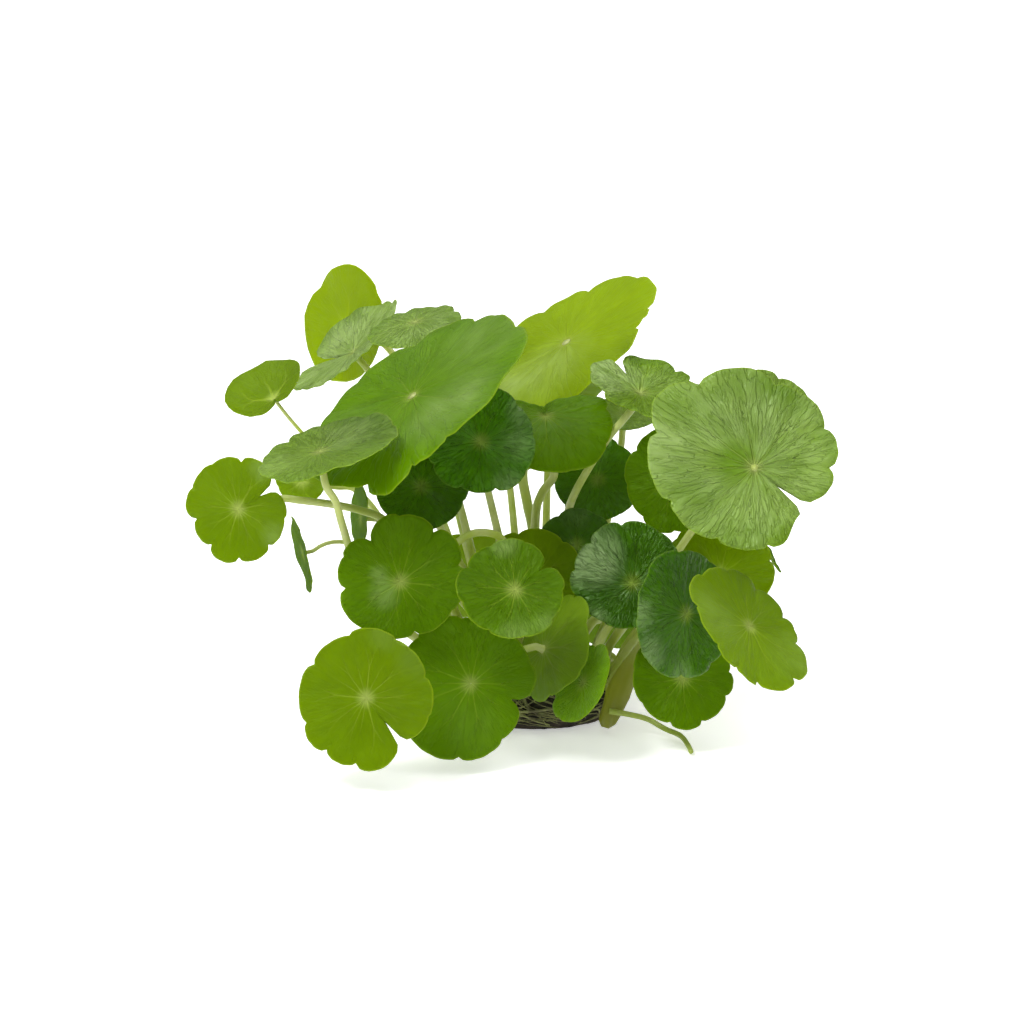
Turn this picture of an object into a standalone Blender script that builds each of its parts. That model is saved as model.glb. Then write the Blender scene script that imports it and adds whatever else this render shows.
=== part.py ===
"""Whorled pennywort on its root plug, for Blender 4.5.

Run it with: blender --background --python part.py

Every leaf blade, every clump of stems, the runner and the root plug is its own solid. The lists below
are in millimetres and degrees; the solids are built in metres, +Z up, and the plug stands on Z = 0 with
the origin in the middle of its base. +X is the plant's right and -Y its front.
"""

import math
from dataclasses import dataclass

import bmesh
import bpy
from mathutils import Vector

MM = 0.001
OBJECT_NAME = "whorled_pennywort"

# Driving sizes
PLUG_RADIUS = 20.0
PLUG_HEIGHT = 12.0
PLUG_SHOULDER = 6.0
BLADE_THICKNESS = 0.5
GAP = 0.3
FOOT_RADIUS = 1.25
CREEPING_RADIUS = 1.5
CREEPING_LIFT = 0.7
RUNNER_RADIUS = 0.65

# How a blade is divided
RIM_STOPS = (0.0, 0.25, 0.75)
SPOKE_STOPS = (0.0, 1.0)
WIDE_SPOKE_STOPS = (0.0, 0.55, 1.0)
WIDE_BLADE = 38.0
SMALL_LOBE_STEP = 60.0
SMALL_BLADE = 18.0
LOBE_SWING = 0.035

# How a stalk is divided
STALK_STEPS = 5
VIA_STEPS = 2
CLOSE_WAYPOINTS = 4
NECK = 2.4
FIRST_RISE = 4.0

LEAF_GREEN = (0.105, 0.235, 0.008, 1.0)
STEM_GREEN = (0.36, 0.44, 0.16, 1.0)
PLUG_BROWN = (0.035, 0.026, 0.014, 1.0)


@dataclass(frozen=True)
class Leaf:
    """One blade and the stalk that carries it.

    joint is where the stalk meets the upper face, faces is the azimuth and elevation that the upper
    face looks to (azimuth 0 is the front, +90 the right), and foot is where the stalk leaves the plug.
    nicks are directions across the blade, from its own right, anticlockwise. sinus is the direction of
    the deep cut, how far from the joint it ends and half its opening. centre is how far the middle of
    the outline lies from the joint, as a direction and a share of the radius. Each swell is a direction,
    half its spread and how much further out the rim reaches there. notch is the depth of the nicks and
    span how wide a lobe is where no nick is given. stalk is the stalk's radius at its top.
    """

    name: str
    joint: tuple
    width: float
    faces: tuple
    foot: tuple
    nicks: tuple = ()
    sinus: tuple = ()
    centre: tuple = (0.0, 0.0)
    cup: float = 0.06
    droop: tuple = ()
    via: tuple = ()
    arrive: tuple = ()
    lean: float = 0.25
    rise: float = 0.4
    reach: float = 0.22
    swell: tuple = ()
    notch: float = 0.06
    span: float = 40.0
    stalk: float = 0.8


CLUMPS = {
    "stems_front_left": (
        Leaf("leaf_edge_on_left", (-51, -24, 42), 17, (-76, -11), (-18, -5), arrive=(1, 0.3, 0.8), reach=0.25,
             stalk=0.45),
        Leaf("leaf_mid_left", (-46, -46, 70), 30, (-58, 72), (-17, -9), nicks=(27, 185, 285),
             centre=(35, 0.15), swell=((172, 28, -0.08),),
             via=((-44.5, -47.5, 63), (-42.5, -46, 59), (-41.4, -42, 53), (-39, -35, 43), (-32, -26, 28))),
        Leaf("leaf_front_low_left", (-36, -60, 20), 29.3, (-10, 15), (-15, -12),
             nicks=(150, 22, 205, 235, 264), sinus=(312, 0.6, 5), centre=(270, 0.03),
             swell=((185, 40, -0.05),)),
        Leaf("leaf_front_left", (-29, -48, 42), 27, (5, 15), (-13, -15), nicks=(55, 15, 285, 185),
             sinus=(124, 1.0, 8), centre=(90, 0.1), notch=0.1,
             via=((-20, -42.5, 47), (-13, -35, 49.5), (-7, -28, 45), (-12.3, -20.3, 30))),
    ),
    "stems_front": (
        Leaf("leaf_front_centre", (-4.5, -54, 42), 22.5, (5, 38), (-10, -12.5), nicks=(152, 236),
             sinus=(38, 0.84, 7), centre=(180, 0.08), rise=0.5, reach=0.3),
        Leaf("leaf_front_low", (-14, -46, 19), 31, (8, 14), (-9, -16), nicks=(258,), sinus=(336, 0.88, 10),
             centre=(215, 0.12), swell=((295, 45, -0.08),)),
        Leaf("leaf_underside", (1.9, -33, 22.7), 28, (115, -25), (-6.5, -18.5), nicks=(100,),
             centre=(200, 0.2), swell=((268, 50, -0.3), (215, 45, -0.22), (110, 40, 0.1)),
             arrive=(-0.9, 0.3, -0.3), reach=0.5),
    ),
    "stems_left": (
        Leaf("leaf_inner_left", (-39, -8, 46), 16, (-75, 4), (-14, -1)),
        Leaf("leaf_small_left", (-52.1, -8, 54.5), 10.8, (0, 34), (-16, 2), stalk=0.5,
             via=((-50, -5, 51.5), (-45, 0.5, 51), (-37, 3.5, 46))),
        Leaf("leaf_upper_left", (-59.2, 12, 68.9), 21.7, (-60, 54), (-17, 6), sinus=(340, 0.3, 50),
             centre=(182, 0.62), cup=0.06, swell=((262, 60, -0.3), (228, 40, -0.2)), span=90, stalk=0.42),
        Leaf("leaf_low_back_left", (-33, 24, 22), 21, (-115, 25), (-15, 10), nicks=(60,)),
    ),
    "stems_back_left": (
        Leaf("leaf_top_left", (-41.9, 27, 76.6), 30.9, (-80, 50), (-12, 6), nicks=(122, 20),
             sinus=(213, 0.3, 9), centre=(185, 0.42), cup=0.07),
        Leaf("leaf_top_back_left", (-44.6, 55, 77.0), 28.3, (-48, 12), (-10, 12), nicks=(145, 45),
             centre=(120, 0.08), span=110),
    ),
    "stems_middle_left": (
        Leaf("leaf_dark_left", (-25, -28, 58), 20, (0, 29), (-8, -8)),
        Leaf("leaf_big_left", (-27, -26, 78), 56.5, (-66, 55), (-9, -4), nicks=(350, 332, 309),
             centre=(345, 0.17), cup=0.05, swell=((140, 25, -0.05),), droop=(320, 0.5, 25)),
        Leaf("leaf_far_left", (-64, -36, 55), 23, (-20, 8), (-9, 0), nicks=(88, 234, 197, 275, 316),
             sinus=(33, 0.68, 7), notch=0.1,
             via=((-55.3, -33.5, 56.6), (-50.8, -33.5, 56.3), (-44, -33, 55.3), (-38.1, -31, 53.5),
                  (-33, -28, 50.6), (-26, -20, 42), (-17, -9, 28))),
        Leaf("leaf_small_top", (-27, 10, 87), 22.5, (-50, 73), (-9, 4), nicks=(75,),
             swell=((75, 30, -0.12), (48, 25, -0.1)), cup=-0.1),
    ),
    "stems_middle": (
        Leaf("leaf_glossy_middle", (-12, -28, 68), 23.5, (5, 25), (-3.5, -2), nicks=(285, 245, 205)),
        Leaf("leaf_middle", (2, -10, 70), 28.5, (15, 62), (0, 2), centre=(280, 0.17),
             swell=((90, 85, -0.75),), droop=(270, 0.3, 60),
             via=((2.5, -5, 64), (3.6, -2, 57.6), (4.1, 1, 53.3), (1.3, 1.5, 49), (0, 2, 42)), stalk=0.9),
        Leaf("leaf_top_right", (7, 28, 79), 47, (-65, 55), (1, 7), nicks=(129, 43, 22, 350),
             centre=(345, 0.15), swell=((3, 30, 0.07),), droop=(300, 0.3, 35),
             via=((5, 25, 70), (-0.5, 17, 59), (-2.8, 12, 52), (-1.8, 8, 45.5), (-0.3, 6, 38)), stalk=1.15),
    ),
    "stems_middle_front": (
        Leaf("leaf_behind_front", (-0.5, -17, 34.5), 22, (0, 20), (2, -7), nicks=(109, 51)),
        Leaf("leaf_dark_middle", (9, -11, 40.5), 17, (0, 34), (6, -6)),
    ),
    "stems_middle_right": (
        Leaf("leaf_funnel", (23, -10, 75), 25, (30, 68), (5, 1), nicks=(9, 27, 163), sinus=(84, 0.65, 7),
             centre=(45, 0.34), swell=((164, 25, -0.14), (255, 20, 0.14), (112, 15, 0.06)), cup=0.01,
             via=((19.6, -10, 69.2), (16.2, -10, 65), (12.5, -9.5, 59), (9.2, -8, 52.7), (7.4, -4.9, 47),
                  (6.4, -3.4, 40))),
        Leaf("leaf_inner_right", (14, 4, 52), 20, (0, 34), (9, 3)),
        Leaf("leaf_pale_back", (20, 14, 65), 17, (0, 74), (9, 8)),
    ),
    "stems_front_right": (
        Leaf("leaf_small_front", (10, -42, 18), 18.6, (-62, 30), (8, -16), nicks=(100,),
             swell=((110, 40, -0.1),)),
        Leaf("leaf_sheen_right", (21, -32, 37.3), 24, (-10, 30), (12, -11), nicks=(105, 139, 200),
             centre=(125, 0.2)),
    ),
    "stems_right": (
        Leaf("leaf_low_right", (32, -32, 16), 22, (8, 25), (17, -12), nicks=(250, 290, 335, 5)),
        Leaf("leaf_dark_right", (32, -46, 34.4), 27.4, (38, 12), (18, -8), nicks=(252,), centre=(175, 0.08),
             swell=((275, 40, -0.04),), via=((33, -37, 30), (27, -22, 28))),
        Leaf("leaf_front_right", (44.9, -55, 34.4), 31.3, (57, 42), (19, -5),
             nicks=(146, 183, 205, 228, 275, 324, 353, 33), centre=(200, 0.14), notch=0.09,
             swell=((218, 14, -0.06),), via=((46, -49, 25), (46, -33, 23), (39, -19, 20))),
        Leaf("leaf_under_right", (41, -12, 34), 25, (0, 40), (19, -2), nicks=(16,), centre=(90, 0.1)),
        Leaf("leaf_big_right", (46.7, -38, 64.6), 41, (8, 33), (16, 0),
             nicks=(28, 72, 118, 158, 200, 238, 273, 358), sinus=(316, 0.48, 6), centre=(140, 0.18), cup=0.03,
             swell=((138, 26, 0.11), (64, 24, -0.05), (100, 25, -0.03), (180, 25, -0.04), (272, 25, 0.04),
                  (300, 16, -0.1), (345, 20, 0.04)), via=((37, -27, 52), (30, -21, 40), (22, -12, 26))),
        Leaf("leaf_behind_right", (31.5, -12, 56), 24, (-15, 13), (13, -2), nicks=(150,)),
    ),
    "stems_back_right": (
        Leaf("leaf_edge_on_right", (53.3, 6, 34), 10, (90, 31), (19, 3)),
        Leaf("leaf_back_right", (50.5, -22.5, 71.3), 25, (25, 38), (16.7, 8.8), nicks=(60, 95),
             via=((48, -16.5, 66), (43, -7, 54), (35, 2, 38))),
        Leaf("leaf_far_back_right", (46, 22, 27), 24, (110, 30), (10, 14), nicks=(60,)),
    ),
    "stems_back": (
        Leaf("leaf_low_back_right", (18, 28, 14.8), 24, (160, 20), (6, 18), nicks=(10,)),
        Leaf("leaf_upper_back", (4, 42, 66), 25, (175, 50), (2, 15), nicks=(60,)),
        Leaf("leaf_back", (-7.5, 42, 52), 24, (-170, 30), (-3, 14), nicks=(40,)),
        Leaf("leaf_low_back", (-16, 40, 20), 25, (-165, 20), (-8, 17), nicks=(80,)),
    ),
}

RUNNER_ROUTE = ((16.3, -22.2, 5.4), (20.5, -22.2, 4.7), (24.8, -22, 3.5), (28.6, -24, 1.9),
                (31.9, -26.5, 1.1), (33.3, -32.3, 0.8), (33.8, -37.5, 0.8))

# The thick growing end of a creeping stem, which rises beside the plug
CROWN_CLUMP = "stems_right"
CROWN_ROUTE = ((15.5, -20.4, 1.0), (15.9, -20, 2.3), (16.6, -19.2, 4.6), (18.3, -17.4, 8.3),
               (20.6, -16.6, 12.5), (22.6, -16.8, 16.5), (24, -17.5, 20))
CROWN_RADII = (0.8, 1.8, 2.2, 2.6, 2.2, 1.5, 0.9)


def direction(azimuth, elevation):
    """The unit vector that looks to an azimuth and an elevation, both in degrees."""
    a, e = math.radians(azimuth), math.radians(elevation)
    return Vector((math.sin(a) * math.cos(e), -math.cos(a) * math.cos(e), math.sin(e)))


def blade_axes(leaf):
    """The blade's own right, up and outward directions."""
    out = direction(*leaf.faces)
    right = Vector((0, 0, 1)).cross(out).normalized()
    return right, out.cross(right), out


def nick_directions(leaf):
    """All the nicks round the rim: those given, with each wide stretch between them filled evenly."""
    step = SMALL_LOBE_STEP if leaf.width < SMALL_BLADE else leaf.span
    given = sorted(list(leaf.nicks) + list(leaf.sinus[:1])) or [leaf.width * 7 % 360]
    nicks = []
    for start, end in zip(given, given[1:] + [given[0] + 360]):
        lobes = max(1, round((end - start) / step))
        nicks += [start + (end - start) * k / lobes for k in range(lobes)]
    return nicks


def lobe_reach(leaf, lobe):
    """How far one lobe reaches, as a share of the blade's radius."""
    return 1 + LOBE_SWING * math.sin(1.7 * leaf.width + 2.4 * lobe)


def rim_reach(leaf, nicks, lobe, part):
    """The rim's direction in degrees and its reach, part of the way across one lobe."""
    count = len(nicks)
    start = nicks[lobe]
    end = nicks[(lobe + 1) % count] + (360 if lobe == count - 1 else 0)
    theta = start + (end - start) * part
    own = lobe_reach(leaf, lobe)
    beside = lobe_reach(leaf, (lobe - 1 if part < 0.5 else lobe + 1) % count)
    ends = min(own, beside) - leaf.notch
    reach = ends + (own - ends) * math.sin(math.pi * part) ** 0.42
    toward, amount = leaf.centre
    turn = math.radians(theta - toward)
    reach *= amount * math.cos(turn) + math.sqrt(1 - (amount * math.sin(turn)) ** 2)
    for toward, spread, further in leaf.swell:
        away = abs((theta - toward + 180) % 360 - 180)
        reach *= 1 + further * max(0, 1 - (away / spread) ** 2) ** 2
    if leaf.sinus:
        apex, tip, half_opening = leaf.sinus
        away = abs((theta - apex + 180) % 360 - 180)
        reach *= tip + (1 - tip) * min(1, away / half_opening) ** 0.4
        reach *= 1 - 0.2 * max(0, 1 - away / 45) ** 2
    return theta, reach


def blade_point(leaf, theta, reach):
    """A point of the blade's upper face, in millimetres, reach being a share of the radius."""
    t = math.radians(theta)
    x, y = reach * math.cos(t), reach * math.sin(t)
    h = leaf.cup * reach ** 2 + 0.02 * reach ** 2.5 * math.cos(4 * t)
    if leaf.droop:
        toward, start, bend = leaf.droop
        b, k = math.radians(toward), math.radians(bend)
        s = x * math.cos(b) + y * math.sin(b)
        q = -x * math.sin(b) + y * math.cos(b)
        past = max(0, s - start)
        s = start + math.sin(k * past) / k if past else s
        h -= (1 - math.cos(k * past)) / k
        x, y = s * math.cos(b) - q * math.sin(b), s * math.sin(b) + q * math.cos(b)
    right, up, out = blade_axes(leaf)
    return Vector(leaf.joint) + leaf.width / 2 * (x * right + y * up + h * out)


def plug_top(x, y):
    """Height of the plug's domed top."""
    share = min(1, math.hypot(x, y) / PLUG_RADIUS)
    return PLUG_HEIGHT - (PLUG_HEIGHT - PLUG_SHOULDER) * share ** 2


def on_creeping_stem(foot):
    """Where a foot lies on the middle line of the creeping stem over the plug."""
    x, y = foot
    return Vector((x, y, plug_top(x, y) + CREEPING_LIFT + CREEPING_RADIUS))


def through(points, steps):
    """A smooth line through points, with so many steps from one to the next."""
    ends = [2 * points[0] - points[1]] + points + [2 * points[-1] - points[-2]]
    line = []
    for a, b, c, d in zip(ends, ends[1:], ends[2:], ends[3:]):
        for k in range(steps):
            t = k / steps
            line.append(0.5 * (2 * b + (c - a) * t + (2 * a - 5 * b + 4 * c - d) * t ** 2
                               + (3 * b - a - 3 * c + d) * t ** 3))
    return line + [points[-1]]


def rim_of(leaf):
    """The whole rim, as directions in degrees and reaches."""
    nicks = nick_directions(leaf)
    return [rim_reach(leaf, nicks, lobe, part) for lobe in range(len(nicks)) for part in RIM_STOPS]


def spoke_stops(leaf):
    """How far along a spoke of the blade its points lie, as shares of the reach."""
    return WIDE_SPOKE_STOPS if leaf.width > WIDE_BLADE else SPOKE_STOPS


def steepest_fall(leaf):
    """How steeply the blade falls away from its joint, where it falls most."""
    out = blade_axes(leaf)[2]
    steepest = 0.0
    for theta, reach in rim_of(leaf):
        away = blade_point(leaf, theta, reach * spoke_stops(leaf)[1]) - Vector(leaf.joint)
        height = away.dot(out)
        steepest = max(steepest, -height / (away - height * out).length)
    return steepest


def stalk_line(leaf):
    """The middle line of a leaf's stalk, from the creeping stem to just under the blade."""
    out = blade_axes(leaf)[2]
    joint = Vector(leaf.joint)
    foot = on_creeping_stem(leaf.foot)
    top = joint - out * (BLADE_THICKNESS + GAP + leaf.stalk * steepest_fall(leaf))
    neck = joint - out * NECK
    span = (joint - foot).length
    level = Vector((joint.x - foot.x, joint.y - foot.y, 0)).normalized()
    up = (Vector((0, 0, 1)) * (1 - leaf.lean) + level * leaf.lean).normalized()
    if leaf.via:
        waypoints = [Vector(point) for point in reversed(leaf.via)]
        steps = 1 if len(waypoints) >= CLOSE_WAYPOINTS else VIA_STEPS
        return through([foot, foot + up * FIRST_RISE] + waypoints + [neck], steps) + [top]
    arrive = Vector(leaf.arrive).normalized() if leaf.arrive else -out
    handles = (foot, foot + up * leaf.rise * span, neck + arrive * leaf.reach * span, neck)
    line = []
    for k in range(STALK_STEPS + 1):
        t = k / STALK_STEPS
        weights = ((1 - t) ** 3, 3 * (1 - t) ** 2 * t, 3 * (1 - t) * t ** 2, t ** 3)
        line.append(sum((w * h for w, h in zip(weights, handles)), Vector()))
    return line + [top]


def material(name, colour, roughness):
    """A plain Principled material."""
    made = bpy.data.materials.new(name)
    made.use_nodes = True
    shader = made.node_tree.nodes["Principled BSDF"]
    shader.inputs["Base Color"].default_value = colour
    shader.inputs["Roughness"].default_value = roughness
    shader.inputs["Metallic"].default_value = 0.0
    return made


def tube(name, line, radii, sides_step, collection):
    """A closed tube along a line in millimetres, with a radius at each point, as a mesh object."""
    curve = bpy.data.curves.new(name, "CURVE")
    curve.dimensions = "3D"
    curve.bevel_depth = MM
    curve.bevel_resolution = sides_step
    curve.use_fill_caps = True
    spline = curve.splines.new("POLY")
    spline.points.add(len(line) - 1)
    for point, place, radius in zip(spline.points, line, radii):
        point.co = (*(place * MM), 1)
        point.radius = radius
    guide = bpy.data.objects.new(name + "_curve", curve)
    bpy.context.scene.collection.objects.link(guide)
    depsgraph = bpy.context.evaluated_depsgraph_get()
    mesh = bpy.data.meshes.new_from_object(guide.evaluated_get(depsgraph))
    place = guide.matrix_world.copy()
    bpy.data.objects.remove(guide)
    mesh.name = name
    work = bmesh.new()
    work.from_mesh(mesh)
    bmesh.ops.remove_doubles(work, verts=work.verts, dist=1e-6)
    bmesh.ops.recalc_face_normals(work, faces=work.faces)
    work.to_mesh(mesh)
    work.free()
    made = bpy.data.objects.new(name, mesh)
    made.matrix_world = place
    collection.objects.link(made)
    return made


def taper(count, start, end):
    """Radii that go evenly from the first to the last, quickly at first."""
    return [end + (start - end) * (1 - k / (count - 1)) ** 3 for k in range(count)]


def build_blade(leaf, finish, collection):
    """A blade: one spoke spun round, shaped to its outline and thickened downwards."""
    rim = rim_of(leaf)
    work = bmesh.new()
    spoke = [work.verts.new((stop, 0, 0)) for stop in spoke_stops(leaf)]
    edges = [work.edges.new(pair) for pair in zip(spoke, spoke[1:])]
    bmesh.ops.spin(work, geom=spoke + edges, cent=(0, 0, 0), axis=(0, 0, 1), angle=2 * math.pi,
                   steps=len(rim), use_merge=True)
    bmesh.ops.remove_doubles(work, verts=work.verts, dist=1e-4)
    for vert in work.verts:
        step = round(math.degrees(math.atan2(vert.co.y, vert.co.x)) % 360 / 360 * len(rim)) % len(rim)
        theta, reach = rim[step]
        vert.co = blade_point(leaf, theta, reach * vert.co.length) * MM
    bmesh.ops.recalc_face_normals(work, faces=work.faces)
    if sum((face.normal for face in work.faces), Vector()).dot(blade_axes(leaf)[2]) < 0:
        bmesh.ops.reverse_faces(work, faces=work.faces)
    mesh = bpy.data.meshes.new(leaf.name)
    work.to_mesh(mesh)
    work.free()
    mesh.materials.append(finish)
    blade = bpy.data.objects.new(leaf.name, mesh)
    collection.objects.link(blade)
    skin = blade.modifiers.new("thickness", "SOLIDIFY")
    skin.thickness = BLADE_THICKNESS * MM
    skin.offset = -1
    mesh.shade_smooth()
    mesh.set_sharp_from_angle(angle=math.radians(50))
    return blade


def build_clump(name, leaves, finish, parts, cutters):
    """A creeping stem over the plug with its leaf stalks grown on it, as one solid."""
    feet = [on_creeping_stem(leaf.foot) for leaf in leaves]
    first = feet[0] + (feet[0] - feet[1]).normalized() * CREEPING_RADIUS
    last = feet[-1] + (feet[-1] - feet[-2]).normalized() * CREEPING_RADIUS
    line = [first] + feet + [last]
    stem = tube(name, line, [0.7 * CREEPING_RADIUS] + [CREEPING_RADIUS] * len(feet)
                + [0.7 * CREEPING_RADIUS], 1, parts)
    stem.data.materials.append(finish)
    grown = []
    for leaf in leaves:
        stalk = stalk_line(leaf)
        radii = taper(len(stalk), FOOT_RADIUS, leaf.stalk)
        grown.append(tube(leaf.name + "_stalk", stalk, radii, 1, cutters))
    if name == CROWN_CLUMP:
        grown.append(tube("crown", [Vector(point) for point in CROWN_ROUTE], CROWN_RADII, 1, cutters))
    for added in grown:
        added.hide_render = True
        added.display_type = "WIRE"
        join = stem.modifiers.new("grow " + added.name, "BOOLEAN")
        join.operation = "UNION"
        join.solver = "EXACT"
        join.object = added
    stem.data.shade_smooth()
    stem.data.set_sharp_from_angle(angle=math.radians(60))
    return stem


def build_plug(finish, collection):
    """The root plug: a turned block with a flat base and a domed top."""
    dome = [Vector((PLUG_RADIUS * share, 0, plug_top(PLUG_RADIUS * share, 0))) for share in (1, 0.8, 0.5, 0)]
    side = [Vector((PLUG_RADIUS * 1.01, 0, PLUG_SHOULDER * 0.5)), Vector((PLUG_RADIUS * 0.93, 0, 0)),
            Vector((0, 0, 0))]
    profile = list(reversed(dome)) + side
    work = bmesh.new()
    verts = [work.verts.new(point * MM) for point in profile]
    for pair in zip(verts, verts[1:]):
        work.edges.new(pair)
    mesh = bpy.data.meshes.new("root_plug")
    work.to_mesh(mesh)
    work.free()
    mesh.materials.append(finish)
    plug = bpy.data.objects.new("root_plug", mesh)
    collection.objects.link(plug)
    turn = plug.modifiers.new("turned", "SCREW")
    turn.steps = 28
    turn.render_steps = 28
    turn.use_merge_vertices = True
    turn.merge_threshold = 0.00001
    turn.use_smooth_shade = False
    return plug


def build_runner(finish, collection):
    """The runner that trails from the plug along the surface."""
    line = through([Vector(point) for point in RUNNER_ROUTE], 2)
    runner = tube("runner", line, [RUNNER_RADIUS] * len(line), 1, collection)
    runner.data.materials.append(finish)
    runner.data.shade_smooth()
    runner.data.set_sharp_from_angle(angle=math.radians(60))
    return runner


def main():
    """Builds the plant."""
    for item in list(bpy.data.objects):
        bpy.data.objects.remove(item)
    parts = bpy.data.collections.new(OBJECT_NAME)
    cutters = bpy.data.collections.new("stalks_to_join")
    for collection in (parts, cutters):
        bpy.context.scene.collection.children.link(collection)
    leaf_finish = material("leaf", LEAF_GREEN, 0.35)
    stem_finish = material("stem", STEM_GREEN, 0.45)
    plug_finish = material("plug", PLUG_BROWN, 0.9)
    build_plug(plug_finish, parts)
    build_runner(stem_finish, parts)
    for name, leaves in CLUMPS.items():
        build_clump(name, leaves, stem_finish, parts, cutters)
        for leaf in leaves:
            build_blade(leaf, leaf_finish, parts)


main()
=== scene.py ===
"""The look of the whorled pennywort: leaf blades, stems, runner, root plug and studio.

Lengths in the tables are in millimetres and angles in degrees. +X is the plant's right, -Y its front,
+Z up, and the origin is the middle of the root plug's flat base.
"""

from __future__ import annotations

import logging
import math
from dataclasses import dataclass, field, replace
from enum import Enum
from typing import Sequence

import bpy
import numpy as np
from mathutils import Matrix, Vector, noise

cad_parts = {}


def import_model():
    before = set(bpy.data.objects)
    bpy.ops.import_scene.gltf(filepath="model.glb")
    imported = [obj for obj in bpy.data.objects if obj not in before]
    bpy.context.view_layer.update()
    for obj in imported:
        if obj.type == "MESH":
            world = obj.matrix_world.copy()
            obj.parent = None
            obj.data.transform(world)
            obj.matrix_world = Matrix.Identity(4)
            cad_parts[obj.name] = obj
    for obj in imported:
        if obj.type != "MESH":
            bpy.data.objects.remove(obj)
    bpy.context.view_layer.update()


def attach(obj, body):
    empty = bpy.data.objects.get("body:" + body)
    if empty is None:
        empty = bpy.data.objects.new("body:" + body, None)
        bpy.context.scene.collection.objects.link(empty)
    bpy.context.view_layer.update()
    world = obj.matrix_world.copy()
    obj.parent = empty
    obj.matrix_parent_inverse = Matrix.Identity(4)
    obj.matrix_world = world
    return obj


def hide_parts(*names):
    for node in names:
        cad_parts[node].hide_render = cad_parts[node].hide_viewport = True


LOG = logging.getLogger("pennywort")

MM = 0.001

Colour = tuple[float, float, float]
Point = tuple[float, float, float]
Grid = np.ndarray


# Finishes


@dataclass(frozen=True)
class BladeFinish:
    """The upper or lower skin of a leaf blade.

    deep and light are the two greens of its mottling, crease_shade_colour the painted shade in its fine
    folds, vein the colour of its veins, hub that of the spot over the stalk, rim that of the thin pale
    line round its edge, a painted highlight, and painted_sheen_colour the grey-green of painted sheen.
    glow is the light that comes through, and glow_share how much of the shading it is. gloss is how
    much the skin reflects, in the colour gloss_tint. vein_width is a vein's half width in millimetres
    near the hub. unevenness_and_painted_light is how far the brightness varies, at random along broad
    streaks and as painted light and shade across the raised fields between the veins. fold_shade is how
    far the crease lines are darkened. quilting, wrinkles and streaking are heights in metres: of the
    fields between the veins, of the fine creases and of the folds that run out from the hub.
    """

    name: str
    deep: Colour
    light: Colour
    crease_shade_colour: Colour
    glow: Colour
    glow_share: float
    roughness: float
    vein_strength: float
    fold_shade: float
    unevenness_and_painted_light: float
    quilting: float
    streaking: float
    vein: Colour = (0.20, 0.30, 0.02)
    hub: Colour = (0.38, 0.47, 0.10)
    rim: Colour = (0.22, 0.31, 0.01)
    painted_sheen_colour: Colour = (0.22, 0.31, 0.09)
    gloss: float = 0.2
    gloss_tint: Colour = (0.7, 1.0, 0.3)
    vein_width: float = 0.28
    wrinkles: float = 0.00005


@dataclass(frozen=True)
class StemFinish:
    """Skin of stalks and stems from foot to top, close to the ground and in old sheaths."""

    name: str
    ground: Colour
    sheath: Colour
    foot: Colour
    top: Colour
    streak: Colour
    glow: Colour
    glow_share: float
    roughness: float


@dataclass(frozen=True)
class SoilFinish:
    """Crumbly dark soil held by roots."""

    name: str
    dark: Colour
    light: Colour
    fleck: Colour
    roughness: float


@dataclass(frozen=True)
class RootFinish:
    """Pale fine roots."""

    name: str
    young: Colour
    old: Colour
    roughness: float


UNDERSIDE = BladeFinish(
    name="leaf underside", deep=(0.115, 0.190, 0.006), light=(0.160, 0.250, 0.012), crease_shade_colour=(0.05, 0.10, 0.003),
    glow=(0.60, 0.78, 0.004), glow_share=0.44, roughness=0.5, vein_strength=0.6, fold_shade=0.1,
    unevenness_and_painted_light=0.12, quilting=0.00014, streaking=0.00006, vein=(0.30, 0.36, 0.07), hub=(0.46, 0.50, 0.16),
    rim=(0.16, 0.24, 0.02), painted_sheen_colour=(0.22, 0.28, 0.09), gloss_tint=(0.7, 0.9, 0.5), vein_width=0.32,
    wrinkles=0.00008,
)


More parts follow.
